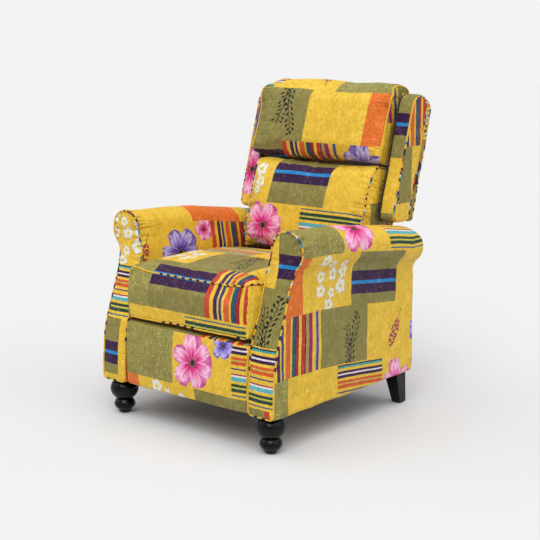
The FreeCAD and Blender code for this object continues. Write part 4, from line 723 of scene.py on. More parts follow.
@dataclass(frozen=True)
class Grained:
    """A solid finish whose tone and gloss wander with a noise of a real size.

    The stretch draws the noise out along one axis, as wood grain and brushed steel are.
    """

    name: str
    light: str
    dark: str
    grain_mm: float
    stretch: tuple[float, float, float] = (1.0, 1.0, 1.0)
    rough: tuple[float, float] = (0.4, 0.55)
    metallic: float = 0.0
    relief_mm: float = 0.1
    coat: float = 0.0
    level: float = 0.5
    detail: float = 3.0

    def material(self) -> Material:
        """Return the finish on Object coordinates.

        Returns:
            The material.
        """
        made, tree, skin = started(self.name)
        place = add(tree, "TexCoord", {}, {})
        drawn = add(tree, "Mapping", {}, {"Vector": place.outputs["Object"], "Scale": self.stretch})
        grain = add(tree, "TexNoise", {}, {"Vector": drawn, "Scale": 1000 / self.grain_mm,
                                           "Detail": self.detail, "Roughness": 0.6, "Distortion": 0.4})
        colour = stops(add(tree, "ValToRGB", {}, {0: grain}), [(0.32, self.dark), (0.68, self.light)])
        gloss = add(tree, "MapRange", {}, {0: grain, 1: 0.3, 2: 0.7, 3: self.rough[0], 4: self.rough[1]})
        bump = add(tree, "Bump", {}, {"Height": grain, "Strength": 0.4, "Distance": self.relief_mm / 1000})
        feed(tree, skin, {"Base Color": colour, "Roughness": gloss, "Normal": bump, "Metallic": self.metallic,
                          "Coat Weight": self.coat, "Specular IOR Level": self.level})
        return made


@dataclass(frozen=True)
class Woven:
    """A flat weave of crossing threads, as lining, webbing and dust cover are."""

    name: str
    light: str
    dark: str
    thread_mm: float
    gap: float = 0.5

    def material(self) -> Material:
        """Return the weave on Object coordinates.

        Returns:
            The material.
        """
        made, tree, skin = started(self.name)
        place = add(tree, "TexCoord", {}, {})
        scale = 1000 / self.thread_mm / math.tau
        wefts = [add(tree, "TexWave", {"bands_direction": axis, "wave_profile": "SIN"},
                     {"Vector": place.outputs["Object"], "Scale": scale, "Distortion": 0.3})
                 for axis in ("X", "Y", "Z")]
        weave = add(tree, "Math", {"operation": "MULTIPLY"}, {0: wefts[0].outputs[1], 1: wefts[1].outputs[1]})
        weave = add(tree, "Math", {"operation": "MAXIMUM"}, {0: weave, 1: wefts[2].outputs[1]})
        fuzz = add(tree, "TexNoise", {}, {"Vector": place.outputs["Object"], "Scale": 90.0, "Detail": 4.0})
        tone = add(tree, "Math", {"operation": "MULTIPLY_ADD"}, {0: fuzz, 1: self.gap, 2: weave})
        colour = stops(add(tree, "ValToRGB", {}, {0: tone}), [(0.2, self.dark), (1.0, self.light)])
        bump = add(tree, "Bump", {}, {"Height": weave, "Strength": 0.4, "Distance": 0.0003})
        feed(tree, skin, {"Base Color": colour, "Normal": bump, "Roughness": 0.85, "Sheen Weight": 0.1})
        return made


@dataclass
class Finishes:
    """Every finish of the chair, made once."""

    velvet: Material = None
    piping: Material = None
    lacquer: Material = None
    lining: Material = None
    steel: Material = None
    zinc: Material = None
    spring: Material = None
    nylon: Material = None
    timber: Material = None
    webbing: Material = None

    def __post_init__(self) -> None:
        """Make the materials."""
        self.velvet = CrushedVelvet().material(PatchPrint().build())
        self.piping = PipingCloth().material()
        # Beech turned or tapered and sprayed with black satin lacquer: near black, softly glossy
        self.lacquer = Grained("black_lacquered_wood", "070708", "030303", 55.0, (1, 1, 0.25), (0.16, 0.22),
                               relief_mm=0.08, level=0.25).material()
        # Black spun polyester: dull, with a faint thread
        self.lining = Woven("dark_lining", "232027", "0C0B0E", 1.6).material()
        # Punched steel, powder coated black: fine orange-peel and a low gloss
        self.steel = Grained("black_steel", "1C1D20", "101113", 3.0, rough=(0.38, 0.5), relief_mm=0.05,
                             coat=0.1).material()
        # Zinc-plated steel: bluish grey metal, clouded
        self.zinc = Grained("zinc_fasteners", "C8CBCE", "9DA1A6", 4.0, rough=(0.26, 0.42), metallic=1.0,
                            relief_mm=0.03).material()
        # Oil-tempered spring wire: dark straw-grey metal
        self.spring = Grained("spring_wire", "8C8880", "5F5B55", 6.0, rough=(0.3, 0.45), metallic=1.0,
                              relief_mm=0.03).material()
        # Injection-moulded nylon, dyed black: dark grey and slightly waxy
        self.nylon = Grained("moulded_nylon", "222225", "161618", 5.0, rough=(0.42, 0.52),
                             relief_mm=0.04).material()
        # Sawn poplar and plywood: pale, with grain along the rails
        self.timber = Grained("frame_timber", "D0AF7E", "A5824F", 26.0, (0.16, 1.0, 1.0), (0.6, 0.75),
                              relief_mm=0.25, detail=6.0).material()
        # Rubber and jute bands: ochre-grey, coarse weave
        self.webbing = Woven("elastic_webbing", "A99A80", "5C5140", 2.4).material()


def node_solid(node: str) -> BMesh:
    """Return a merged copy of a CAD node's mesh.

    Args:
        node: The node's name.
    Returns:
        The copy, which the caller frees.
    """
    bm = bmesh.new()
    bm.from_mesh(frame["nodes"][node].data)
    bmesh.ops.remove_doubles(bm, verts=bm.verts, dist=1e-5)
    bmesh.ops.recalc_face_normals(bm, faces=bm.faces)
    return bm


def placed(name: str, bm: BMesh) -> Object:
    """Make a scene object of a bmesh and free it.

    Args:
        name: The object's name.
        bm: Its mesh.
    Returns:
        The object.
    """
    mesh = bpy.data.meshes.new(name)
    bm.to_mesh(mesh)
    bm.free()
    obj = bpy.data.objects.new(name, mesh)
    bpy.context.scene.collection.objects.link(obj)
    return obj


def bake_modifiers(obj: Object) -> None:
    """Apply the live modifiers of an object.

    Args:
        obj: The object.
    """
    graph = bpy.context.evaluated_depsgraph_get()
    mesh = bpy.data.meshes.new_from_object(obj.evaluated_get(graph))
    old = obj.data
    obj.modifiers.clear()
    obj.data = mesh
    mesh.name = obj.name
    bpy.data.meshes.remove(old)


def read_points(mesh: Mesh) -> np.ndarray:
    """Return a mesh's vertices as an array of rows.

    Args:
        mesh: The mesh.
    Returns:
        One row for each vertex.
    """
    flat = np.empty(len(mesh.vertices) * 3, np.float32)
    mesh.vertices.foreach_get("co", flat)
    return flat.reshape(-1, 3).astype(float)


def write_points(mesh: Mesh, points: np.ndarray) -> None:
    """Move a mesh's vertices to the rows of an array."""
    mesh.vertices.foreach_set("co", points.astype(np.float32).ravel())
    mesh.update()


def read_normals(mesh: Mesh) -> np.ndarray:
    """Return a mesh's vertex normals as an array of rows.

    Args:
        mesh: The mesh.
    Returns:
        One row for each vertex.
    """
    flat = np.empty(len(mesh.vertices) * 3, np.float32)
    mesh.vertex_normals.foreach_get("vector", flat)
    return flat.reshape(-1, 3).astype(float)


def rise(values: np.ndarray) -> np.ndarray:
    """Return a smooth step from 0 to 1 over values from 0 to 1."""
    held = np.clip(values, 0, 1)
    return held * held * (3 - 2 * held)


def chained(edges: list[bmesh.types.BMEdge]) -> list[list[Vector]]:
    """Order edges that meet end to end into lines of points, the longest first.

    Args:
        edges: The edges.
    Returns:
        The lines.
    """
    links: dict[int, list[int]] = {}
    places = {}
    for edge in edges:
        for here, there in (edge.verts, reversed(edge.verts)):
            links.setdefault(here.index, []).append(there.index)
            places[here.index] = here.co.copy()
    lines = []
    left = set(links)
    while left:
        start = min((i for i in left if len(links[i]) == 1), default=min(left))
        order = [start]
        left.discard(start)
        while True:
            following = next((i for i in links[order[-1]] if i in left), None)
            if following is None:
                break
            order.append(following)
            left.discard(following)
        lines.append([places[i] for i in order])
    spans = {id(line): sum((b - a).length for a, b in zip(line, line[1:])) for line in lines}
    return sorted(lines, key=lambda line: -spans[id(line)])


def unit(rows: np.ndarray) -> np.ndarray:
    """Return rows at a length of 1."""
    return rows / np.maximum(np.linalg.norm(rows, axis=1, keepdims=True), TINY)


def search_tree(rows: np.ndarray) -> KDTree:
    """Put points into a search tree.

    Args:
        rows: The points.
    Returns:
        The tree, balanced.
    """
    tree = KDTree(len(rows))
    for i, row in enumerate(rows):
        tree.insert(row, i)
    tree.balance()
    return tree


class Route:
    """A line along the chair, open or closed, in even steps."""

    def __init__(self, points: list, closed: bool, step: float = 0.005) -> None:
        """Resample points to even steps.

        Args:
            points: Places along the line.
            closed: Whether the line closes.
            step: The distance between its points.
        """
        self.closed = closed
        self.step = step
        self._resample(points)

    def _resample(self, points: list) -> None:
        """Lay the line through points again.

        Args:
            points: Places along the line.
        """
        rows = np.array([list(p) for p in points] + ([list(points[0])] if self.closed else []), float)
        runs = np.linalg.norm(np.diff(rows, axis=0), axis=1)
        rows = rows[np.append(True, runs > 1e-7)]
        marks = np.append(0, np.cumsum(np.linalg.norm(np.diff(rows, axis=0), axis=1)))
        self.length = float(marks[-1])
        count = max(4, int(round(self.length / self.step)))
        self.marks = np.linspace(0, self.length, count + 1)[:count + (not self.closed)]
        self.rows = np.stack([np.interp(self.marks, marks, rows[:, i]) for i in (X, Y, Z)], axis=1)

    def eased(self, times: int) -> "Route":
        """Smooth the line and return it in even steps.

        Args:
            times: How many rounds of smoothing.
        Returns:
            The line.
        """
        for _ in range(times):
            if self.closed:
                self.rows = (np.roll(self.rows, 1, 0) + 2 * self.rows + np.roll(self.rows, -1, 0)) / 4
            else:
                self.rows[1:-1] = (self.rows[:-2] + 2 * self.rows[1:-1] + self.rows[2:]) / 4
        self._resample(list(self.rows))
        return self

    def snapped(self, tree: BVHTree, lift: float = 0.0) -> "Route":
        """Move each point to the nearest place of a surface, lifted off it, and return the line.

        Args:
            tree: The surface.
            lift: How far off it the points come to lie.
        Returns:
            The line.
        """
        for i, row in enumerate(self.rows):
            place, normal, _, _ = tree.find_nearest(Vector(row))
            self.rows[i] = place + normal * lift
        return self

    def nearest(self, points: np.ndarray) -> tuple[np.ndarray, np.ndarray, np.ndarray]:
        """Return each point's distance from the line, how far along it is, and the line's point.

        Args:
            points: The points.
        Returns:
            The three arrays.
        """
        tree = search_tree(self.rows)
        index = np.array([tree.find(p)[1] for p in points])
        if self.closed:
            run = np.roll(self.rows, -1, 0) - np.roll(self.rows, 1, 0)
        else:
            run = np.gradient(self.rows, axis=0)
        run = unit(run)
        off = points - self.rows[index]
        ahead = np.clip(np.einsum("ij,ij->i", off, run[index]), -self.step, self.step)
        foot = self.rows[index] + ahead[:, None] * run[index]
        return np.linalg.norm(points - foot, axis=1), self.marks[index] + ahead, foot

    def end_stations(self, x: float, side: Side) -> list[Station]:
        """Return places at one x round the line, a side outline, each with its way aside and outwards.

        Args:
            x: Where the end lies.
            side: Which end it is.
        Returns:
            A place and a direction for each point of the line.
        """
        run = np.roll(self.rows, -1, 0) - np.roll(self.rows, 1, 0)
        out = unit(np.stack([run[:, X], run[:, Z], -run[:, Y]], axis=1))
        out *= np.sign(np.sum(out * (self.rows - self.rows.mean(axis=0))))
        return [(Vector((x, row[Y], row[Z])), Vector((side.value, turn[Y], turn[Z])))
                for row, turn in zip(self.rows, out)]


@dataclass
class Corners:
    """The face corners of a mesh, on which its cloth map is written."""

    mesh: Mesh
    points: np.ndarray
    face: np.ndarray
    starts: np.ndarray
    normal: np.ndarray
    centre: np.ndarray

    @classmethod
    def read(cls, mesh: Mesh) -> "Corners":
        """Read a mesh.

        Args:
            mesh: The mesh.
        Returns:
            Its corners.
        """
        loops = np.empty(len(mesh.loops), np.int32)
        mesh.loops.foreach_get("vertex_index", loops)
        count = len(mesh.polygons)
        starts, totals = np.empty(count, np.int32), np.empty(count, np.int32)
        mesh.polygons.foreach_get("loop_start", starts)
        mesh.polygons.foreach_get("loop_total", totals)
        normal, centre = np.empty(count * 3, np.float32), np.empty(count * 3, np.float32)
        mesh.polygons.foreach_get("normal", normal)
        mesh.polygons.foreach_get("center", centre)
        return cls(mesh, read_points(mesh)[loops], np.repeat(np.arange(count), totals), starts,
                   normal.reshape(-1, 3).astype(float), centre.reshape(-1, 3).astype(float))

    def planar(self, across: int, up: int, offset: tuple[float, float]) -> np.ndarray:
        """Return the map that looks square at one plane."""
        return self.points[:, [across, up]] + np.array(offset)

    def boxed(self, offset: tuple[float, float]) -> np.ndarray:
        """Return the map in which each face takes the cloth square to the way it looks.

        Args:
            offset: Where the cloth starts on the print.
        Returns:
            The map.
        """
        widest = np.argmax(np.abs(self.normal), axis=1)[self.face]
        u = np.where(widest == X, self.points[:, Y], self.points[:, X])
        v = np.where(widest == Z, self.points[:, Y], self.points[:, Z])
        return np.stack([u + offset[0], v + offset[1]], axis=1)

    def unbroken(self, along: np.ndarray, length: float) -> np.ndarray:
        """Return marks round a closed line with no face torn where the line closes."""
        top = np.maximum.reduceat(along, self.starts)[self.face]
        return np.where(top - along > length / 2, along + length, along)

    def write(self, uv: np.ndarray) -> None:
        """Write the cloth map.

        Args:
            uv: The map, a row for each corner.
        """
        layer = self.mesh.uv_layers.get(CLOTH) or self.mesh.uv_layers.new(name=CLOTH)
        layer.uv.foreach_set("vector", uv.astype(np.float32).ravel())
        self.mesh.uv_layers.active = layer


@dataclass
class Wrap:
    """Cloth that runs along one axis and wraps round an outline square to it."""

    axis: int
    outline: list[Vector]
    start: Vector
    offset: tuple[float, float] = (0.0, 0.0)
    level: Optional[Callable[[np.ndarray], np.ndarray]] = None
    batch: int = 4000

    def __post_init__(self) -> None:
        """Measure the outline from its start."""
        self.others = [i for i in (X, Y, Z) if i != self.axis]
        ring = Route(self.outline, True, 0.006).eased(3).rows[:, self.others]
        first = np.array([self.start[i] for i in self.others])
        ring = np.roll(ring, -int(np.argmin(np.linalg.norm(ring - first, axis=1))), axis=0)
        ring = np.vstack([ring, ring[:1]])
        area = np.sum(ring[:-1, 0] * ring[1:, 1] - ring[1:, 0] * ring[:-1, 1])
        self.ring = ring[::-1] if area < 0 else ring
        self.run = np.diff(self.ring, axis=0)
        self.span = np.maximum(np.linalg.norm(self.run, axis=1), TINY)
        self.marks = np.append(0, np.cumsum(self.span))
        self.length = float(self.marks[-1])

    def uv(self, corners: Corners) -> np.ndarray:
        """Return the map of a mesh.

        Args:
            corners: The mesh's corners.
        Returns:
            A row for each corner.
        """
        flat = corners.points[:, self.others].copy()
        if self.level is not None:
            flat[:, 1] += self.level(corners.points[:, self.axis])
        along = np.empty(len(flat))
        for low in range(0, len(flat), self.batch):
            part = flat[low:low + self.batch]
            t = np.einsum("nij,ij->ni", part[:, None] - self.ring[None, :-1], self.run) / self.span ** 2
            t = np.clip(t, 0, 1)
            foot = self.ring[None, :-1] + t[..., None] * self.run[None]
            gap = np.linalg.norm(part[:, None] - foot, axis=2)
            best = np.argmin(gap, axis=1)
            rows = np.arange(len(part))
            along[low:low + self.batch] = self.marks[best] + t[rows, best] * self.span[best]
        along = corners.unbroken(along, self.length)
        return np.stack([corners.points[:, self.axis] + self.offset[0], along + self.offset[1]], axis=1)


@dataclass
class Pad:
    """One upholstered piece, grown from the CAD solids that it stands for."""

    name: str
    nodes: tuple[str, ...]
    body: str
    fill: float = 0.6
    voxel: float = 0.006
    obj: Optional[Object] = field(default=None, init=False)
    base: Optional[BVHTree] = field(default=None, init=False)

    def grow(self, set_in: float = 0.0, relax: int = 4, axes: tuple[bool, bool, bool] = (True, True, True),
             solid: Optional[BMesh] = None) -> "Pad":
        """Remesh the solids evenly, round their edges and draw them in a little.

        Args:
            set_in: How far the skin moves inwards.
            relax: How many rounds of smoothing.
            axes: The axes along which smoothing may move a point.
            solid: The shape, where it isn't the nodes' own.
        Returns:
            The pad.
        """
        bm = solid or bmesh.new()
        if solid is None:
            for node in self.nodes:
                part = node_solid(node)
                mesh = bpy.data.meshes.new("part")
                part.to_mesh(mesh)
                part.free()
                bm.from_mesh(mesh)
                bpy.data.meshes.remove(mesh)
        self.obj = placed(self.name, bm)
        modifier = self.obj.modifiers.new("even", "REMESH")
        modifier.mode = "VOXEL"
        modifier.voxel_size = self.voxel
        bake_modifiers(self.obj)
        self.smooth(relax, axes)
        self.base = self.surface()
        mesh = self.obj.data
        write_points(mesh, read_points(mesh) - set_in * read_normals(mesh))
        return self

    def smooth(self, rounds: int, axes: tuple[bool, bool, bool] = (True, True, True)) -> "Pad":
        """Relax the skin.

        Args:
            rounds: How many rounds.
            axes: The axes along which a point may move.
        Returns:
            The pad.
        """
        bm = bmesh.new()
        bm.from_mesh(self.obj.data)
        for _ in range(rounds):
            bmesh.ops.smooth_vert(bm, verts=bm.verts, factor=0.5, use_axis_x=axes[0], use_axis_y=axes[1],
                                  use_axis_z=axes[2])
        bm.to_mesh(self.obj.data)
        bm.free()
        return self

    def swell(self, free: Vector, cap: float, pressure: float = 4.0, frames: int = 20) -> "Pad":
        """Blow the pad up as a cloth bag and keep how it settled.

        Args:
            free: The direction in which the pad may grow by the full cap.
            cap: How far a point may move.
            pressure: The cloth's inner pressure.
            frames: How long it swells.
        Returns:
            The pad.
        """
        before = read_points(self.obj.data)
        cloth = self.obj.modifiers.new("swell", "CLOTH")
        settings = cloth.settings
        settings.quality = 4
        settings.mass = 0.3
        settings.tension_stiffness = settings.compression_stiffness = 18
        settings.bending_stiffness = 0.6
        settings.use_pressure = True
        settings.uniform_pressure_force = pressure
        settings.effector_weights.gravity = 0
        cloth.collision_settings.use_collision = False
        scene = bpy.context.scene
        scene.frame_end = frames
        for step in range(1, frames + 1):
            scene.frame_set(step)
        bake_modifiers(self.obj)
        scene.frame_set(1)
        moved = read_points(self.obj.data) - before
        far = np.linalg.norm(moved, axis=1, keepdims=True)
        out = read_normals(self.obj.data) @ np.array(free.normalized())
        room = cap * np.clip(0.25 + out, 0.1, 1.0)[:, None]
        moved *= np.tanh(far / room) * room / np.maximum(far, TINY)
        write_points(self.obj.data, before + moved)
        return self

    def refine(self) -> "Pad":
        """Add one subdivision.

        Returns:
            The pad.
        """
        modifier = self.obj.modifiers.new("soft", "SUBSURF")
        modifier.levels = modifier.render_levels = 1
        bake_modifiers(self.obj)
        return self

    def hold(self, free: Vector, proud: float, seams: list[Route], fade: float = 0.07) -> "Pad":
        """Keep the skin near its first shape: on it at the seams, a little proud away from them.

        Args:
            free: The direction in which the skin may stand proud.
            proud: How far it may stand proud there.
            seams: The seams, where it stays on the first shape.
            fade: How far from a seam the skin reaches its full height.
        Returns:
            The pad.
        """
        points = read_points(self.obj.data)
        ahead = np.array(free.normalized())
        away = np.full(len(points), 1.0)
        for seam in seams:
            away = np.minimum(away, seam.nearest(points)[0])
        room = proud * np.sin(np.clip(away / fade, 0, 1) * math.pi / 2)
        for i, row in enumerate(points):
            place, normal, _, _ = self.base.find_nearest(Vector(row))
            facing = min(1.0, max(0.0, float(np.dot(normal, ahead)) * 1.5))
            limit = room[i] * facing
            out = (Vector(row) - place).dot(normal)
            if out > limit * 0.6:
                spare = max(limit * 0.4, 1e-5)
                out = limit * 0.6 + spare * math.tanh((out - limit * 0.6) / spare)
                points[i] = place + normal * out
        write_points(self.obj.data, points)
        return self

    def ripple(self, amount: float, size: float, seed: float,
               stretch: Vector = Vector((1, 1, 1))) -> "Pad":
        """Press soft hollows and swells into the skin.

        Args:
            amount: How deep they are.
            size: How wide they are.
            seed: Which pattern.
            stretch: How the pattern is drawn out along each axis.
        Returns:
            The pad.
        """
        points = read_points(self.obj.data)
        scaled = points / (size * np.array(stretch)) + seed
        return self.push(points, amount * np.array([noise.noise(Vector(row)) for row in scaled]))

    def push(self, points: np.ndarray, amount: np.ndarray) -> "Pad":
        """Move the skin's points out along their normals, each by its own amount."""
        write_points(self.obj.data, points + amount[:, None] * read_normals(self.obj.data))
        return self

    def boxed(self, offset: tuple[float, float]) -> "Pad":
        """Lay the cloth square to the way that each face looks.

        Args:
            offset: Where the cloth starts on the print.
        Returns:
            The pad.
        """
        corners = Corners.read(self.obj.data)
        corners.write(corners.boxed(offset))
        return self

    def gather(self, route: Route, depth: float, fade: float, pitch: float, seed: float,
               where: Optional[Callable[[np.ndarray], np.ndarray]] = None) -> "Pad":
        """Draw the cloth into small pleats that run out from a seam.

        Args:
            route: The seam.
            depth: How deep the pleats are at the seam.
            fade: How far they reach into the cloth.
            pitch: About how far apart they are.
            seed: Which pattern.
            where: How strong they are at each point of the line, from 0 to 1.
        Returns:
            The pad.
        """
        points = read_points(self.obj.data)
        away, along, foot = route.nearest(points)
        share = np.ones(len(points)) if where is None else where(foot)
        wave = np.zeros(len(points))
        for i in np.flatnonzero((away < 3.5 * fade) & (share > 0.01)):
            strength = 0.75 + noise.noise(Vector((along[i] / (6 * pitch), 3.3, seed)))
            bend = along[i] + 0.25 * pitch * noise.noise(Vector((along[i] / pitch, away[i] / fade, seed + 7)))
            fold = noise.noise(Vector((bend / pitch, away[i] / (4 * fade), seed)))
            wave[i] = max(0.0, strength) * (abs(fold) ** 0.8 * -2.2 + 0.35)
        shape = np.exp(-away / fade) * (1 - np.exp(-away / 0.003)) * share
        return self.push(points, depth * wave * shape)

    def groove(self, route: Route, depth: float, width: float) -> "Pad":
        """Pull the cloth in along a seam.

        Args:
            route: The seam.
            depth: How deep.
            width: How far to each side.
        Returns:
            The pad.
        """
        points = read_points(self.obj.data)
        away = route.nearest(points)[0]
        return self.push(points, -depth * np.clip(1 - away / width, 0, 1) ** 2)

    def surface(self) -> BVHTree:
        """Return the skin as a search tree.

        Returns:
            The tree.
        """
        bm = bmesh.new()
        bm.from_mesh(self.obj.data)
        tree = BVHTree.FromBMesh(bm)
        bm.free()
        return tree

    def ridge(self, stations: list[Station], closed: bool, reach: float = 0.03,
              ease: int = 10) -> Route:
        """Return the line along a rounded edge.

        Args:
            stations: Places near the edge, each with the direction that the edge points to.
            closed: Whether the line closes.
            reach: How far from its station the edge may be.
            ease: How many rounds of smoothing the line gets.
        Returns:
            The line.
        """
        points = read_points(self.obj.data)
        tree = search_tree(points)
        picked = []
        for place, out in stations:
            near = [index for _, index, _ in tree.find_range(place, reach)]
            if near:
                picked.append(points[near[int(np.argmax(points[near] @ np.array(out.normalized())))]])
        skin = self.surface()
        line = Route(picked, closed).eased(ease).snapped(skin, SEAM_LIFT)
        return line.eased(ease // 2).snapped(skin, SEAM_LIFT).eased(2)

    def section(self, axis: int, at: float) -> list[Vector]:
        """Return the outline that a cut square to an axis leaves on the skin.

        Args:
            axis: The axis.
            at: Where on it.
        Returns:
            The outline's points.
        """
        bm = bmesh.new()
        bm.from_mesh(self.obj.data)
        normal = Vector((axis == X, axis == Y, axis == Z))
        cut = bmesh.ops.bisect_plane(bm, geom=bm.verts[:] + bm.edges[:] + bm.faces[:], dist=1e-6,
                                     plane_co=normal * at, plane_no=normal)
        bm.verts.index_update()
        line = chained([e for e in cut["geom_cut"] if isinstance(e, bmesh.types.BMEdge)])[0]
        bm.free()
        return line

    def dress(self, material: Material) -> None:
        """Give the pad its cloth, its body and its nodes.

        Args:
            material: The cloth.
        """
        self.obj.data.materials.clear()
        self.obj.data.materials.append(material)
        self.obj.data.shade_smooth()
        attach(self.obj, self.body)
        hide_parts(*self.nodes)
        LOG.info("%s: %d faces", self.name, len(self.obj.data.polygons))


def face_rim(node: str, facing: Vector, limit: float = 0.6) -> Route:
    """Return the edge line of a CAD solid's surface that faces one way.

    Args:
        node: The node.
        facing: The way.
        limit: How square to it a face is at least.
    Returns:
        The line.
    """
    bm = node_solid(node)
    front = {face for face in bm.faces if face.normal.dot(facing) > limit}
    edges = [e for e in bm.edges if sum(f in front for f in e.link_faces) == 1]
    bm.verts.index_update()
    line = chained(edges)[0]
    bm.free()
    return Route(line, True)


@dataclass
class Piping:
    """A covered cord sewn into a seam."""

    name: str
    route: Route
    body: str
    radius: float = 0.0027
    start: float = 0.0
    dense_from: float = 0.0

    def make(self, finishes: Finishes) -> None:
        """Sweep the cord along its seam and dress it.

        Args:
            finishes: The chair's finishes.
        """
        curve = bpy.data.curves.new(self.name, "CURVE")
        curve.dimensions = "3D"
        curve.bevel_depth = self.radius
        curve.bevel_resolution = 2
        curve.use_fill_caps = not self.route.closed
        spline = curve.splines.new("POLY")
        spline.points.add(len(self.route.rows) - 1)
        for point, row in zip(spline.points, self.route.rows):
            point.co = (*row, 1.0)
        spline.use_cyclic_u = self.route.closed
        holder = bpy.data.objects.new(self.name + "_line", curve)
        bpy.context.scene.collection.objects.link(holder)
        graph = bpy.context.evaluated_depsgraph_get()
        mesh = bpy.data.meshes.new_from_object(holder.evaluated_get(graph))
        bpy.data.objects.remove(holder)
        mesh.name = self.name
        for layer in list(mesh.uv_layers):
            mesh.uv_layers.remove(layer)
        corners = Corners.read(mesh)
        along = self.route.nearest(corners.points)[1]
        if self.route.closed:
            along = corners.unbroken(along, self.route.length)
        even = (corners.centre[:, Z] < self.dense_from).astype(float)[corners.face]
        corners.write(np.stack([along + self.start, even], axis=1))
        LOG.info("%s: %.3f m of cord", self.name, self.route.length)
        mesh.materials.clear()
        mesh.materials.append(finishes.piping)
        mesh.shade_smooth()
        obj = bpy.data.objects.new(self.name, mesh)
        bpy.context.scene.collection.objects.link(obj)
        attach(obj, self.body)


@dataclass
class SeatCushion:
    """The crowned, boxed seat cushion with its two piped seams."""

    finishes: Finishes
    set_in: float = 0.002
    cap: float = 0.024
    proud: float = 0.006
    upper_level: float = 0.162
    lower_level: float = 0.004
    upper_stop: float = 0.17
    lower_stop: float = 0.33
    step: float = 0.006

    def build(self) -> None:
        """Make the cushion and its piping."""
        pad = Pad("seat_cushion_cover", ("seat_cushion",), "seat", 0.75)
        low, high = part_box("seat_cushion")
        up = Vector((0, -0.15, 1))
        pad.grow(self.set_in, 2)
        edges = [self._edge(low, high, 1), self._edge(low, high, -1)]
        guides = [pad.ridge(edge, False, 0.03, 4) for edge in edges]
        pad.swell(up, self.cap).refine().hold(up, self.proud, guides, 0.09)
        pad.smooth(1).ripple(0.003, 0.13, 3.7).ripple(0.0012, 0.05, 8.2, Vector((1, 1.6, 1)))
        top, bottom = (pad.ridge(edge, False, 0.022, 4) for edge in edges)
        pad.gather(top, 0.0026, 0.028, 0.013, 4.1).gather(bottom, 0.0024, 0.024, 0.012, 9.7)
        pad.groove(top, 0.0016, 0.008).groove(bottom, 0.0016, 0.008)
        corners = Corners.read(pad.obj.data)
        wrap = Wrap(X, pad.section(X, 0.0), Vector((0, high.y, low.z)), (0.43, 0.27))
        ends = (np.abs(corners.normal[:, X]) > 0.75)[corners.face]
        uv = wrap.uv(corners)
        uv[ends] = corners.planar(Y, Z, (0.1, 0.4))[ends]
        corners.write(uv)
        pad.dress(self.finishes.velvet)
        for name, seam, start in (("top", top, 0.31), ("bottom", bottom, 1.12)):
            Piping("seat_piping_" + name, seam, "seat", start=start, dense_from=1.0).make(self.finishes)

    def _edge(self, low: Vector, high: Vector, way: int) -> list[Station]:
        """Return stations along the cushion's front and side edge, its upper or lower one.

        Args:
            low: The cushion's lower corner.
            high: Its upper corner.
            way: 1 for the upper edge, -1 for the lower one.
        Returns:
            A place and an outward direction for each station.
        """
        front = low.y + (0.006 if way > 0 else 0.001)
        level = low.z + (self.upper_level if way > 0 else self.lower_level)
        back = high.y - (self.upper_stop if way > 0 else self.lower_stop)
        plan = [(low.x, y) for y in np.arange(back, front + 0.02, -self.step)]
        plan += [(x, front) for x in np.arange(low.x + 0.014, high.x - 0.01, self.step)]
        plan += [(high.x, y) for y in np.arange(front + 0.02, back, self.step)]
        stations = []
        for x, y in plan:
            side = 0 if low.x < x < high.x else math.copysign(1, x)
            near = max(0.0, 1 - (y - front) / 0.03)
            stations.append((Vector((x, y, level)), Vector((side, -near if side else -1, way))))
        return stations


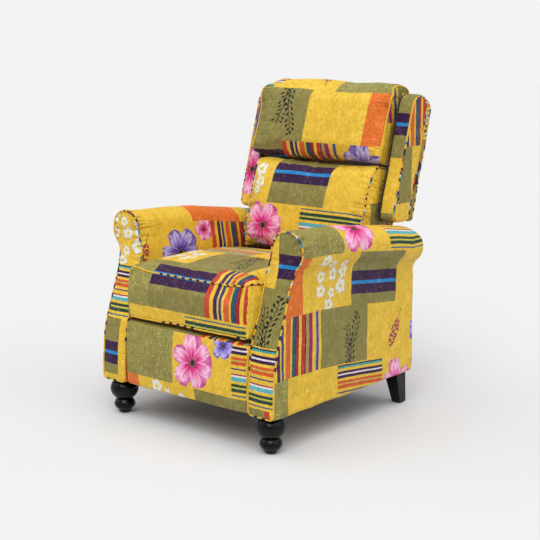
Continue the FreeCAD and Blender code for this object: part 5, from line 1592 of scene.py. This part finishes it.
@dataclass
class BackCushions:
    """The lumbar cushion and the head pillow, each with a piped seam at both ends."""

    finishes: Finishes
    set_in: float = 0.003
    cap: float = 0.028
    proud: float = 0.01
    wing_front: float = 0.1126
    overhang: tuple[float, float] = (0.014, 0.035)
    left_lift: float = 0.009

    def build(self) -> None:
        """Make both cushions."""
        self._cushion("lumbar_cushion_cover", "lumbar_cushion", BACK_FORWARD, (0.21, 0.05), 5.3)
        free = BACK_FORWARD + Vector((0, 0, 0.9))
        self._cushion("head_pillow_cover", "head_pillow", free, (0.66, 0.335), 1.9)

    def _cushion(self, name: str, node: str, free: Vector, offset: tuple[float, float],
                 seed: float) -> None:
        """Make one cushion with its end seams.

        Args:
            name: The cover's name.
            node: The node it stands for.
            free: Where it may swell.
            offset: Where its cloth starts on the print.
            seed: Which ripples.
        """
        pad = Pad(name, (node,), "back", 0.8)
        low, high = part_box(node)
        pad.grow(self.set_in, 3)
        ends = [Route(pad.section(X, side.value * (high.x - 0.03)), True, 0.006).eased(4)
                .end_stations(side.value * high.x, side) for side in Side]
        guides = [pad.ridge(end, True) for end in ends]
        pad.swell(free, self.cap).refine().hold(free, self.proud, guides)
        pad.smooth(2).ripple(0.004, 0.11, seed).ripple(0.0016, 0.045, seed + 2.2)
        seams = [pad.ridge(end, True, 0.022) for end in ends]
        for seam, side in zip(seams, Side):
            pad.gather(seam, 0.0052, 0.034, 0.0125, seed + side.value).groove(seam, 0.0016, 0.008)
        corners = Corners.read(pad.obj.data)
        wrap = Wrap(X, pad.section(X, 0.0), Vector((0, high.y, low.z)), offset)
        beyond = self._beyond(corners, seams)[corners.face]
        uv = wrap.uv(corners)
        uv[beyond] = corners.planar(Y, Z, (offset[0] + 0.3, offset[1]))[beyond]
        corners.write(uv)
        if node == "head_pillow":
            self._overhang(pad.obj.data, seams)
        pad.dress(self.finishes.velvet)
        for side, seam in zip(Side, seams):
            cord = Piping(name.replace("cover", "piping_") + side.word, seam, "back", start=seed)
            cord.make(self.finishes)

    def _beyond(self, corners: Corners, seams: list[Route]) -> np.ndarray:
        """Return which faces lie on the ends, beyond their seam.

        Args:
            corners: The cover's corners.
            seams: Its end seams.
        Returns:
            One truth for each face.
        """
        found = np.zeros(len(corners.centre), bool)
        for seam in seams:
            side = np.sign(seam.rows[:, X].mean())
            near = np.flatnonzero(side * corners.centre[:, X] > np.abs(seam.rows[:, X]).min() - 0.01)
            foot = seam.nearest(corners.centre[near])[2]
            found[near] = side * corners.centre[near, X] > side * foot[:, X]
        return found

    def _overhang(self, mesh: Mesh, seams: list[Route]) -> None:
        """Let the pillow's front stand out over the wings, and its left end sit higher.

        Args:
            mesh: The pillow's mesh.
            seams: Its seams, which move with it.
        """
        top = read_points(mesh)[:, Z].max()

        def spread(points: np.ndarray) -> np.ndarray:
            """Return the points where they come to lie."""
            ahead = (points - np.array(BACK_FOOT)) @ np.array(BACK_FORWARD) - self.wing_front - 0.007
            aside = rise((np.abs(points[:, X]) - 0.13) / 0.11) * rise(ahead / 0.024)
            moved = points.copy()
            moved[:, X] += np.where(points[:, X] > 0, self.overhang[0], -self.overhang[1]) * aside
            high = rise((points[:, Z] - top + 0.11) / 0.09) * rise((0.12 - points[:, X]) / 0.26)
            moved[:, Z] += self.left_lift * high
            return moved

        write_points(mesh, spread(read_points(mesh)))
        for seam in seams:
            seam.rows = spread(seam.rows)


@dataclass
class Wings:
    """The boxed wings beside the cushions: piped velvet outside, and inside a slice of dark lining cloth that
    also paints the shade of the gap beside the cushions.
    """

    finishes: Finishes
    split: float = 0.268
    set_back: float = 0.004

    def build(self) -> None:
        """Make both wings."""
        for side in Side:
            self._velvet(side)
            self._lining(side)

    def _half(self, side: Side, outer: bool) -> BMesh:
        """Return the wing's outer or inner part as a closed solid.

        Args:
            side: Which wing.
            outer: Whether it is the outer part.
        Returns:
            The part, which the caller frees.
        """
        bm = node_solid(f"wing_pad_{side.word}")
        cut = bmesh.ops.bisect_plane(bm, geom=bm.verts[:] + bm.edges[:] + bm.faces[:], dist=1e-6,
                                     plane_co=(side.value * self.split, 0, 0), plane_no=(side.value, 0, 0),
                                     clear_inner=outer, clear_outer=not outer)
        rim = [e for e in cut["geom_cut"] if isinstance(e, bmesh.types.BMEdge)]
        bmesh.ops.holes_fill(bm, edges=rim, sides=0)
        bmesh.ops.recalc_face_normals(bm, faces=bm.faces)
        return bm

    def _velvet(self, side: Side) -> None:
        """Make the velvet part with its piping.

        Args:
            side: Which wing.
        """
        node = f"wing_pad_{side.word}"
        pad = Pad(f"wing_cover_{side.word}", (node,), "back", 0.6, voxel=0.0045)
        pad.grow(0.0003, 3, solid=self._half(side, True)).refine()
        low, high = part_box(node)
        outer = high.x if side is Side.RIGHT else low.x
        line = Route(pad.section(X, outer - side.value * 0.02), True, 0.006).eased(3)
        pad.ripple(0.0022, 0.09, 2.0 + side.value)
        seam = pad.ridge(line.end_stations(outer, side), True, 0.02)
        pad.gather(seam, 0.0028, 0.024, 0.012, 6.0 + side.value).groove(seam, 0.0014, 0.007)
        corners = Corners.read(pad.obj.data)
        middle = line.rows.mean(axis=0)
        wrap = Wrap(X, [Vector(row) for row in line.rows], Vector((0, middle[Y] + 0.06, low.z)), (0.1, 0.42))
        ends = (np.abs(corners.normal[:, X]) > 0.7)[corners.face]
        uv = wrap.uv(corners)
        uv[ends] = corners.planar(Y, Z, (0.30, 0.05))[ends]
        corners.write(uv)
        pad.dress(self.finishes.velvet)
        cord = Piping(f"wing_piping_{side.word}", seam, "back", start=0.9 + 0.2 * side.value)
        cord.make(self.finishes)

    def _lining(self, side: Side) -> None:
        """Make the dark lining slice beside the cushions, which stands as painted shade for the shaded gap
        there.

        Args:
            side: Which wing.
        """
        # Painted shade: dark lining cloth on the wing's inner side, put where the gap beside the cushions
        # lies in shadow
        pad = Pad(f"wing_lining_{side.word}", (f"wing_pad_{side.word}",), "back", 0.4, voxel=0.0045)
        pad.grow(0.0003, 2, solid=self._half(side, False))
        points = read_points(pad.obj.data)
        ahead = (points - np.array(BACK_FOOT)) @ np.array(BACK_FORWARD)
        push = -self.set_back * rise((ahead - ahead.max() + 0.06) / 0.05)
        write_points(pad.obj.data, points + push[:, None] * np.array(BACK_FORWARD))
        pad.ripple(0.001, 0.05, 4.0 + side.value)
        pad.dress(self.finishes.lining)


@dataclass
class Arms:
    """Both arms: one cover each over roll, inner pad, front panel and side, and the rear panels."""

    finishes: Finishes
    # Where the cloth of roll, front panel and rear end starts on the print
    roll_cloth: tuple[tuple[float, float], tuple[float, float]] = ((0.12, 0.07), (0.12, 0.4))
    front_cloth: tuple[tuple[float, float], tuple[float, float]] = ((-0.745, 0.928), (-0.36, 0.22))
    rear_cloth: tuple[float, float] = (0.62, 0.1)

    def build(self) -> None:
        """Make both arms."""
        for side in Side:
            self._arm(side)
        pad = Pad("arm_rear_covers", ("arm_rear_panels",), "base", 0.3, voxel=0.005)
        pad.grow(0.0005, 2).ripple(0.0012, 0.08, 14.0).boxed((0.4, 0.12))
        pad.dress(self.finishes.velvet)

    def _arm(self, side: Side) -> None:
        """Make one arm with the piping of its front panel.

        Args:
            side: Which arm.
        """
        nodes = tuple(f"{part}_{side.word}" for part in ("arm_padding", "arm_facing", "outer_side_panel"))
        pad = Pad(f"arm_cover_{side.word}", nodes, "base", 0.7, voxel=0.0055)
        pad.grow(0.0006, 4).refine()
        low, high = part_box(nodes[0])
        seam = face_rim(nodes[1], FRONT).eased(6).snapped(pad.surface(), SEAM_LIFT).eased(4)
        self._crown(pad, seam)
        pad.ripple(0.0032, 0.12, 7.0 + side.value)
        pad.ripple(0.0014, 0.045, 1.0 + side.value, Vector((1, 1.5, 1)))
        pad.gather(seam, 0.009, 0.03, 0.014, 2.5 + side.value,
                   lambda foot: 0.3 + 0.7 * rise((foot[:, Z] - 0.52) / 0.06))
        seam.snapped(pad.surface(), SEAM_LIFT).eased(3)
        pad.groove(seam, 0.0014, 0.007)
        self._map(pad, side, seam, low, high)
        pad.dress(self.finishes.velvet)
        Piping(f"arm_front_piping_{side.word}", seam, "base", start=0.52 * side.value,
               dense_from=0.42).make(self.finishes)

    def _crown(self, pad: Pad, seam: Route) -> None:
        """Raise the front panel's middle a little above its seam.

        Args:
            pad: The arm's cover.
            seam: The front panel's seam.
        """
        points = read_points(pad.obj.data)
        ahead = np.clip(-read_normals(pad.obj.data)[:, Y] * 1.5, 0, 1)
        front = ahead * self._inside(points[:, [X, Z]], seam.rows[:, [X, Z]])
        crown = 0.006 * np.clip(seam.nearest(points)[0] / 0.045, 0, 1) ** 0.7
        pad.push(points, front * crown)

    def _inside(self, points: np.ndarray, ring: np.ndarray) -> np.ndarray:
        """Return which points of a plane lie inside a ring.

        Args:
            points: Places in the plane.
            ring: The ring's points in order.
        Returns:
            One truth for each point.
        """
        found = np.zeros(len(points), bool)
        for a, b in zip(ring, np.roll(ring, -1, 0)):
            spans = (a[1] > points[:, 1]) != (b[1] > points[:, 1])
            cross = a[0] + (points[:, 1] - a[1]) * (b[0] - a[0]) / (b[1] - a[1] if b[1] != a[1] else TINY)
            found ^= spans & (points[:, 0] < cross)
        return found

    def _map(self, pad: Pad, side: Side, seam: Route, low: Vector, high: Vector) -> None:
        """Lay the cloth: wrapped over the roll and down the side, and a cut of its own in front.

        Args:
            pad: The arm's cover.
            side: Which arm.
            seam: The front panel's seam.
            low: The padding's lower corner.
            high: Its upper corner.
        """
        points = read_points(pad.obj.data)
        middle = (low.y + high.y) / 2
        bins = np.linspace(points[points[:, Z] > 0.62][:, Y].min() + 0.012, high.y - 0.07, 28)
        crest = [points[np.abs(points[:, Y] - b) < 0.012][:, Z].max() for b in bins]
        peak = float(np.interp(middle, bins, crest))
        start = Vector((side.value * 0.30, middle, 0.11))
        left = side is Side.LEFT
        wrap = Wrap(Y, pad.section(Y, middle), start, self.roll_cloth[left],
                    lambda y: peak - np.interp(y, bins, crest))
        corners = Corners.read(pad.obj.data)
        uv = wrap.uv(corners)
        ringed = self._inside(corners.centre[:, [X, Z]], seam.rows[:, [X, Z]])
        front = (ringed & (corners.normal[:, Y] < -0.2))[corners.face]
        drawn = np.interp(corners.points[:, Z], (0.112, 0.356, 0.522, 0.65), (0.112, 0.356, 0.544, 0.672))
        cut = np.stack([corners.points[:, X], drawn], axis=1) + np.array(self.front_cloth[left])
        uv[front] = cut[front]
        rear = (corners.normal[:, Y] > 0.7)[corners.face]
        uv[rear] = corners.planar(X, Z, self.rear_cloth)[rear]
        corners.write(uv)


@dataclass
class BackShell:
    """The outer back panel and the low rear panel."""

    finishes: Finishes

    def build(self) -> None:
        """Make both panels."""
        pad = Pad("outer_back_cover", ("outer_back_panel",), "back", 0.3, voxel=0.006)
        pad.grow(0.0005, 2).ripple(0.0022, 0.13, 21.0)
        seam = face_rim("outer_back_panel", -BACK_FORWARD).eased(4)
        seam.snapped(pad.surface(), SEAM_LIFT).eased(3)
        pad.gather(seam, 0.0018, 0.03, 0.02, 8.8)
        pad.boxed((0.07, 0.21))
        pad.dress(self.finishes.velvet)
        Piping("outer_back_piping", seam, "back", dense_from=0.7).make(self.finishes)
        pad = Pad("rear_cover", ("rear_panel",), "base", 0.2, voxel=0.006)
        pad.grow(0.0005, 2).ripple(0.0016, 0.1, 23.0).boxed((0.31, 0.03))
        pad.dress(self.finishes.velvet)


@dataclass
class Footrest:
    """The padded footrest panel."""

    finishes: Finishes

    def build(self) -> None:
        """Make the pad."""
        pad = Pad("footrest_cover", ("footrest_pad",), "footrest", 0.5, voxel=0.005)
        low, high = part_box("footrest_pad")
        pad.grow(0.0005, 3).refine()
        points = read_points(pad.obj.data)
        front = np.clip(-read_normals(pad.obj.data)[:, Y] * 1.5 - 0.2, 0, 1)
        inward = np.minimum(high.x - np.abs(points[:, X]),
                            np.minimum(points[:, Z] - low.z, high.z - points[:, Z]))
        crown = 0.006 * np.clip(inward / 0.06, 0, 1) ** 0.6
        pad.push(points, front * crown)
        pad.ripple(0.0024, 0.12, 31.0).ripple(0.001, 0.04, 33.0).boxed((0.02, 0.38))
        pad.dress(self.finishes.velvet)


@dataclass
class Underframe:
    """Every carried-over CAD piece with its real finish."""

    finishes: Finishes

    def build(self) -> None:
        """Give each node that still shows its material."""
        by_slot = {"black_lacquered_wood": self.finishes.lacquer, "dark_lining": self.finishes.lining,
                   "black_steel": self.finishes.steel, "zinc_fasteners": self.finishes.zinc,
                   "spring_wire": self.finishes.spring, "nylon": self.finishes.nylon,
                   "frame_timber": self.finishes.timber, "patchwork_velvet": self.finishes.velvet}
        special = {"back_webbing": self.finishes.webbing}
        for entry in frame["record"]["subparts"]:
            node = entry["node"]
            obj = frame["nodes"][node]
            if obj.hide_render:
                continue
            material = special.get(node, by_slot[entry["material_slot"]])
            obj.data.materials.clear()
            obj.data.materials.append(material)
            LOG.info("%s wears %s", node, material.name)


@dataclass(frozen=True)
class Lamp:
    """One very soft, far light: where it stands, its strength and how wide it looks."""

    name: str
    azimuth: float
    height: float
    strength: float
    width: float


@dataclass
class Studio:
    """The pale floor, the soft lights and the camera."""

    target: Vector = field(default_factory=lambda: Vector((0.0127, -0.0327, 0.4504)))
    azimuth: float = 39.84
    elevation: float = 10.96
    distance: float = 3.81
    lens: float = 79.5
    floor_size: float = 60.0
    backdrop: str = "F3F3F3"
    room: float = 0.5
    lamps: tuple[Lamp, ...] = (
        Lamp("key_light", 30.0, 50.0, 1.36, 40.0), Lamp("side_light", 100.0, 40.0, 0.55, 60.0),
        Lamp("left_light", -60.0, 40.0, 0.4, 60.0), Lamp("top_light", 0.0, 85.0, 1.0, 60.0))

    def build(self) -> None:
        """Set the stage."""
        self._floor()
        self._world()
        for lamp in self.lamps:
            self._light(lamp)
        self._camera()
        bpy.context.scene.view_settings.view_transform = "Standard"

    def _floor(self) -> None:
        """Lay the floor."""
        bm = bmesh.new()
        bmesh.ops.create_circle(bm, cap_ends=True, segments=64, radius=self.floor_size / 2)
        floor = placed("studio_floor", bm)
        made, tree, skin = started("pale_floor")
        place = add(tree, "TexCoord", {}, {})
        cloud = add(tree, "TexNoise", {}, {"Vector": place.outputs["Object"], "Scale": 0.6, "Detail": 2.0})
        colour = stops(add(tree, "ValToRGB", {}, {0: cloud}), [(0.3, "D5D5D6"), (0.7, "D7D7D7")])
        feed(tree, skin, {"Base Color": colour, "Roughness": 0.8, "Specular IOR Level": 0.0})
        floor.data.materials.append(made)

    def _world(self) -> None:
        """Fill the room with even light; behind the chair the room is as pale as the far floor."""
        world = bpy.data.worlds.new("studio_air")
        world.use_nodes = True
        tree = world.node_tree
        air = tree.nodes["Background"]
        air.inputs[0].default_value = linear("FBFBFD")
        air.inputs[1].default_value = self.room
        wall = add(tree, "Background", {}, {0: linear(self.backdrop), 1: 1.0})
        seen = add(tree, "LightPath", {}, {})
        both = add(tree, "MixShader", {}, {0: seen.outputs["Is Camera Ray"], 1: air, 2: wall})
        tree.links.new(both.outputs[0], tree.nodes["World Output"].inputs[0])
        bpy.context.scene.world = world

    def _toward(self, azimuth: float, elevation: float) -> Vector:
        """Return the direction to a place round the chair, in degrees from straight in front."""
        a, e = math.radians(azimuth), math.radians(elevation)
        return Vector((math.sin(a) * math.cos(e), -math.cos(a) * math.cos(e), math.sin(e)))

    def _looking(self, place: Vector, away: Vector) -> Matrix:
        """Return the pose at a place that looks against a direction."""
        return Matrix.Translation(place) @ (-away).to_track_quat("-Z", "Y").to_matrix().to_4x4()

    def _light(self, lamp: Lamp) -> None:
        """Hang one light.

        Args:
            lamp: The light.
        """
        data = bpy.data.lights.new(lamp.name, "SUN")
        data.energy = lamp.strength
        data.angle = math.radians(lamp.width)
        obj = bpy.data.objects.new(lamp.name, data)
        away = self._toward(lamp.azimuth, lamp.height)
        obj.matrix_world = self._looking(away * 4, away)
        bpy.context.scene.collection.objects.link(obj)

    def _camera(self) -> None:
        """Stand the camera where the photograph was taken from."""
        away = self._toward(self.azimuth, self.elevation)
        data = bpy.data.cameras.new("camera")
        data.lens, data.sensor_width = self.lens, 36.0
        camera = bpy.data.objects.new("camera", data)
        camera.matrix_world = self._looking(self.target + away * self.distance, away)
        bpy.context.scene.collection.objects.link(camera)
        bpy.context.scene.camera = camera


def main() -> None:
    """Build the chair's covers and finishes, then the studio."""
    logging.basicConfig(level=logging.INFO, format="%(name)s %(message)s")
    finishes = Finishes()
    SeatCushion(finishes).build()
    BackCushions(finishes).build()
    Wings(finishes).build()
    Arms(finishes).build()
    BackShell(finishes).build()
    Footrest(finishes).build()
    Underframe(finishes).build()
    Studio().build()


if __name__ == "__main__":
    main()
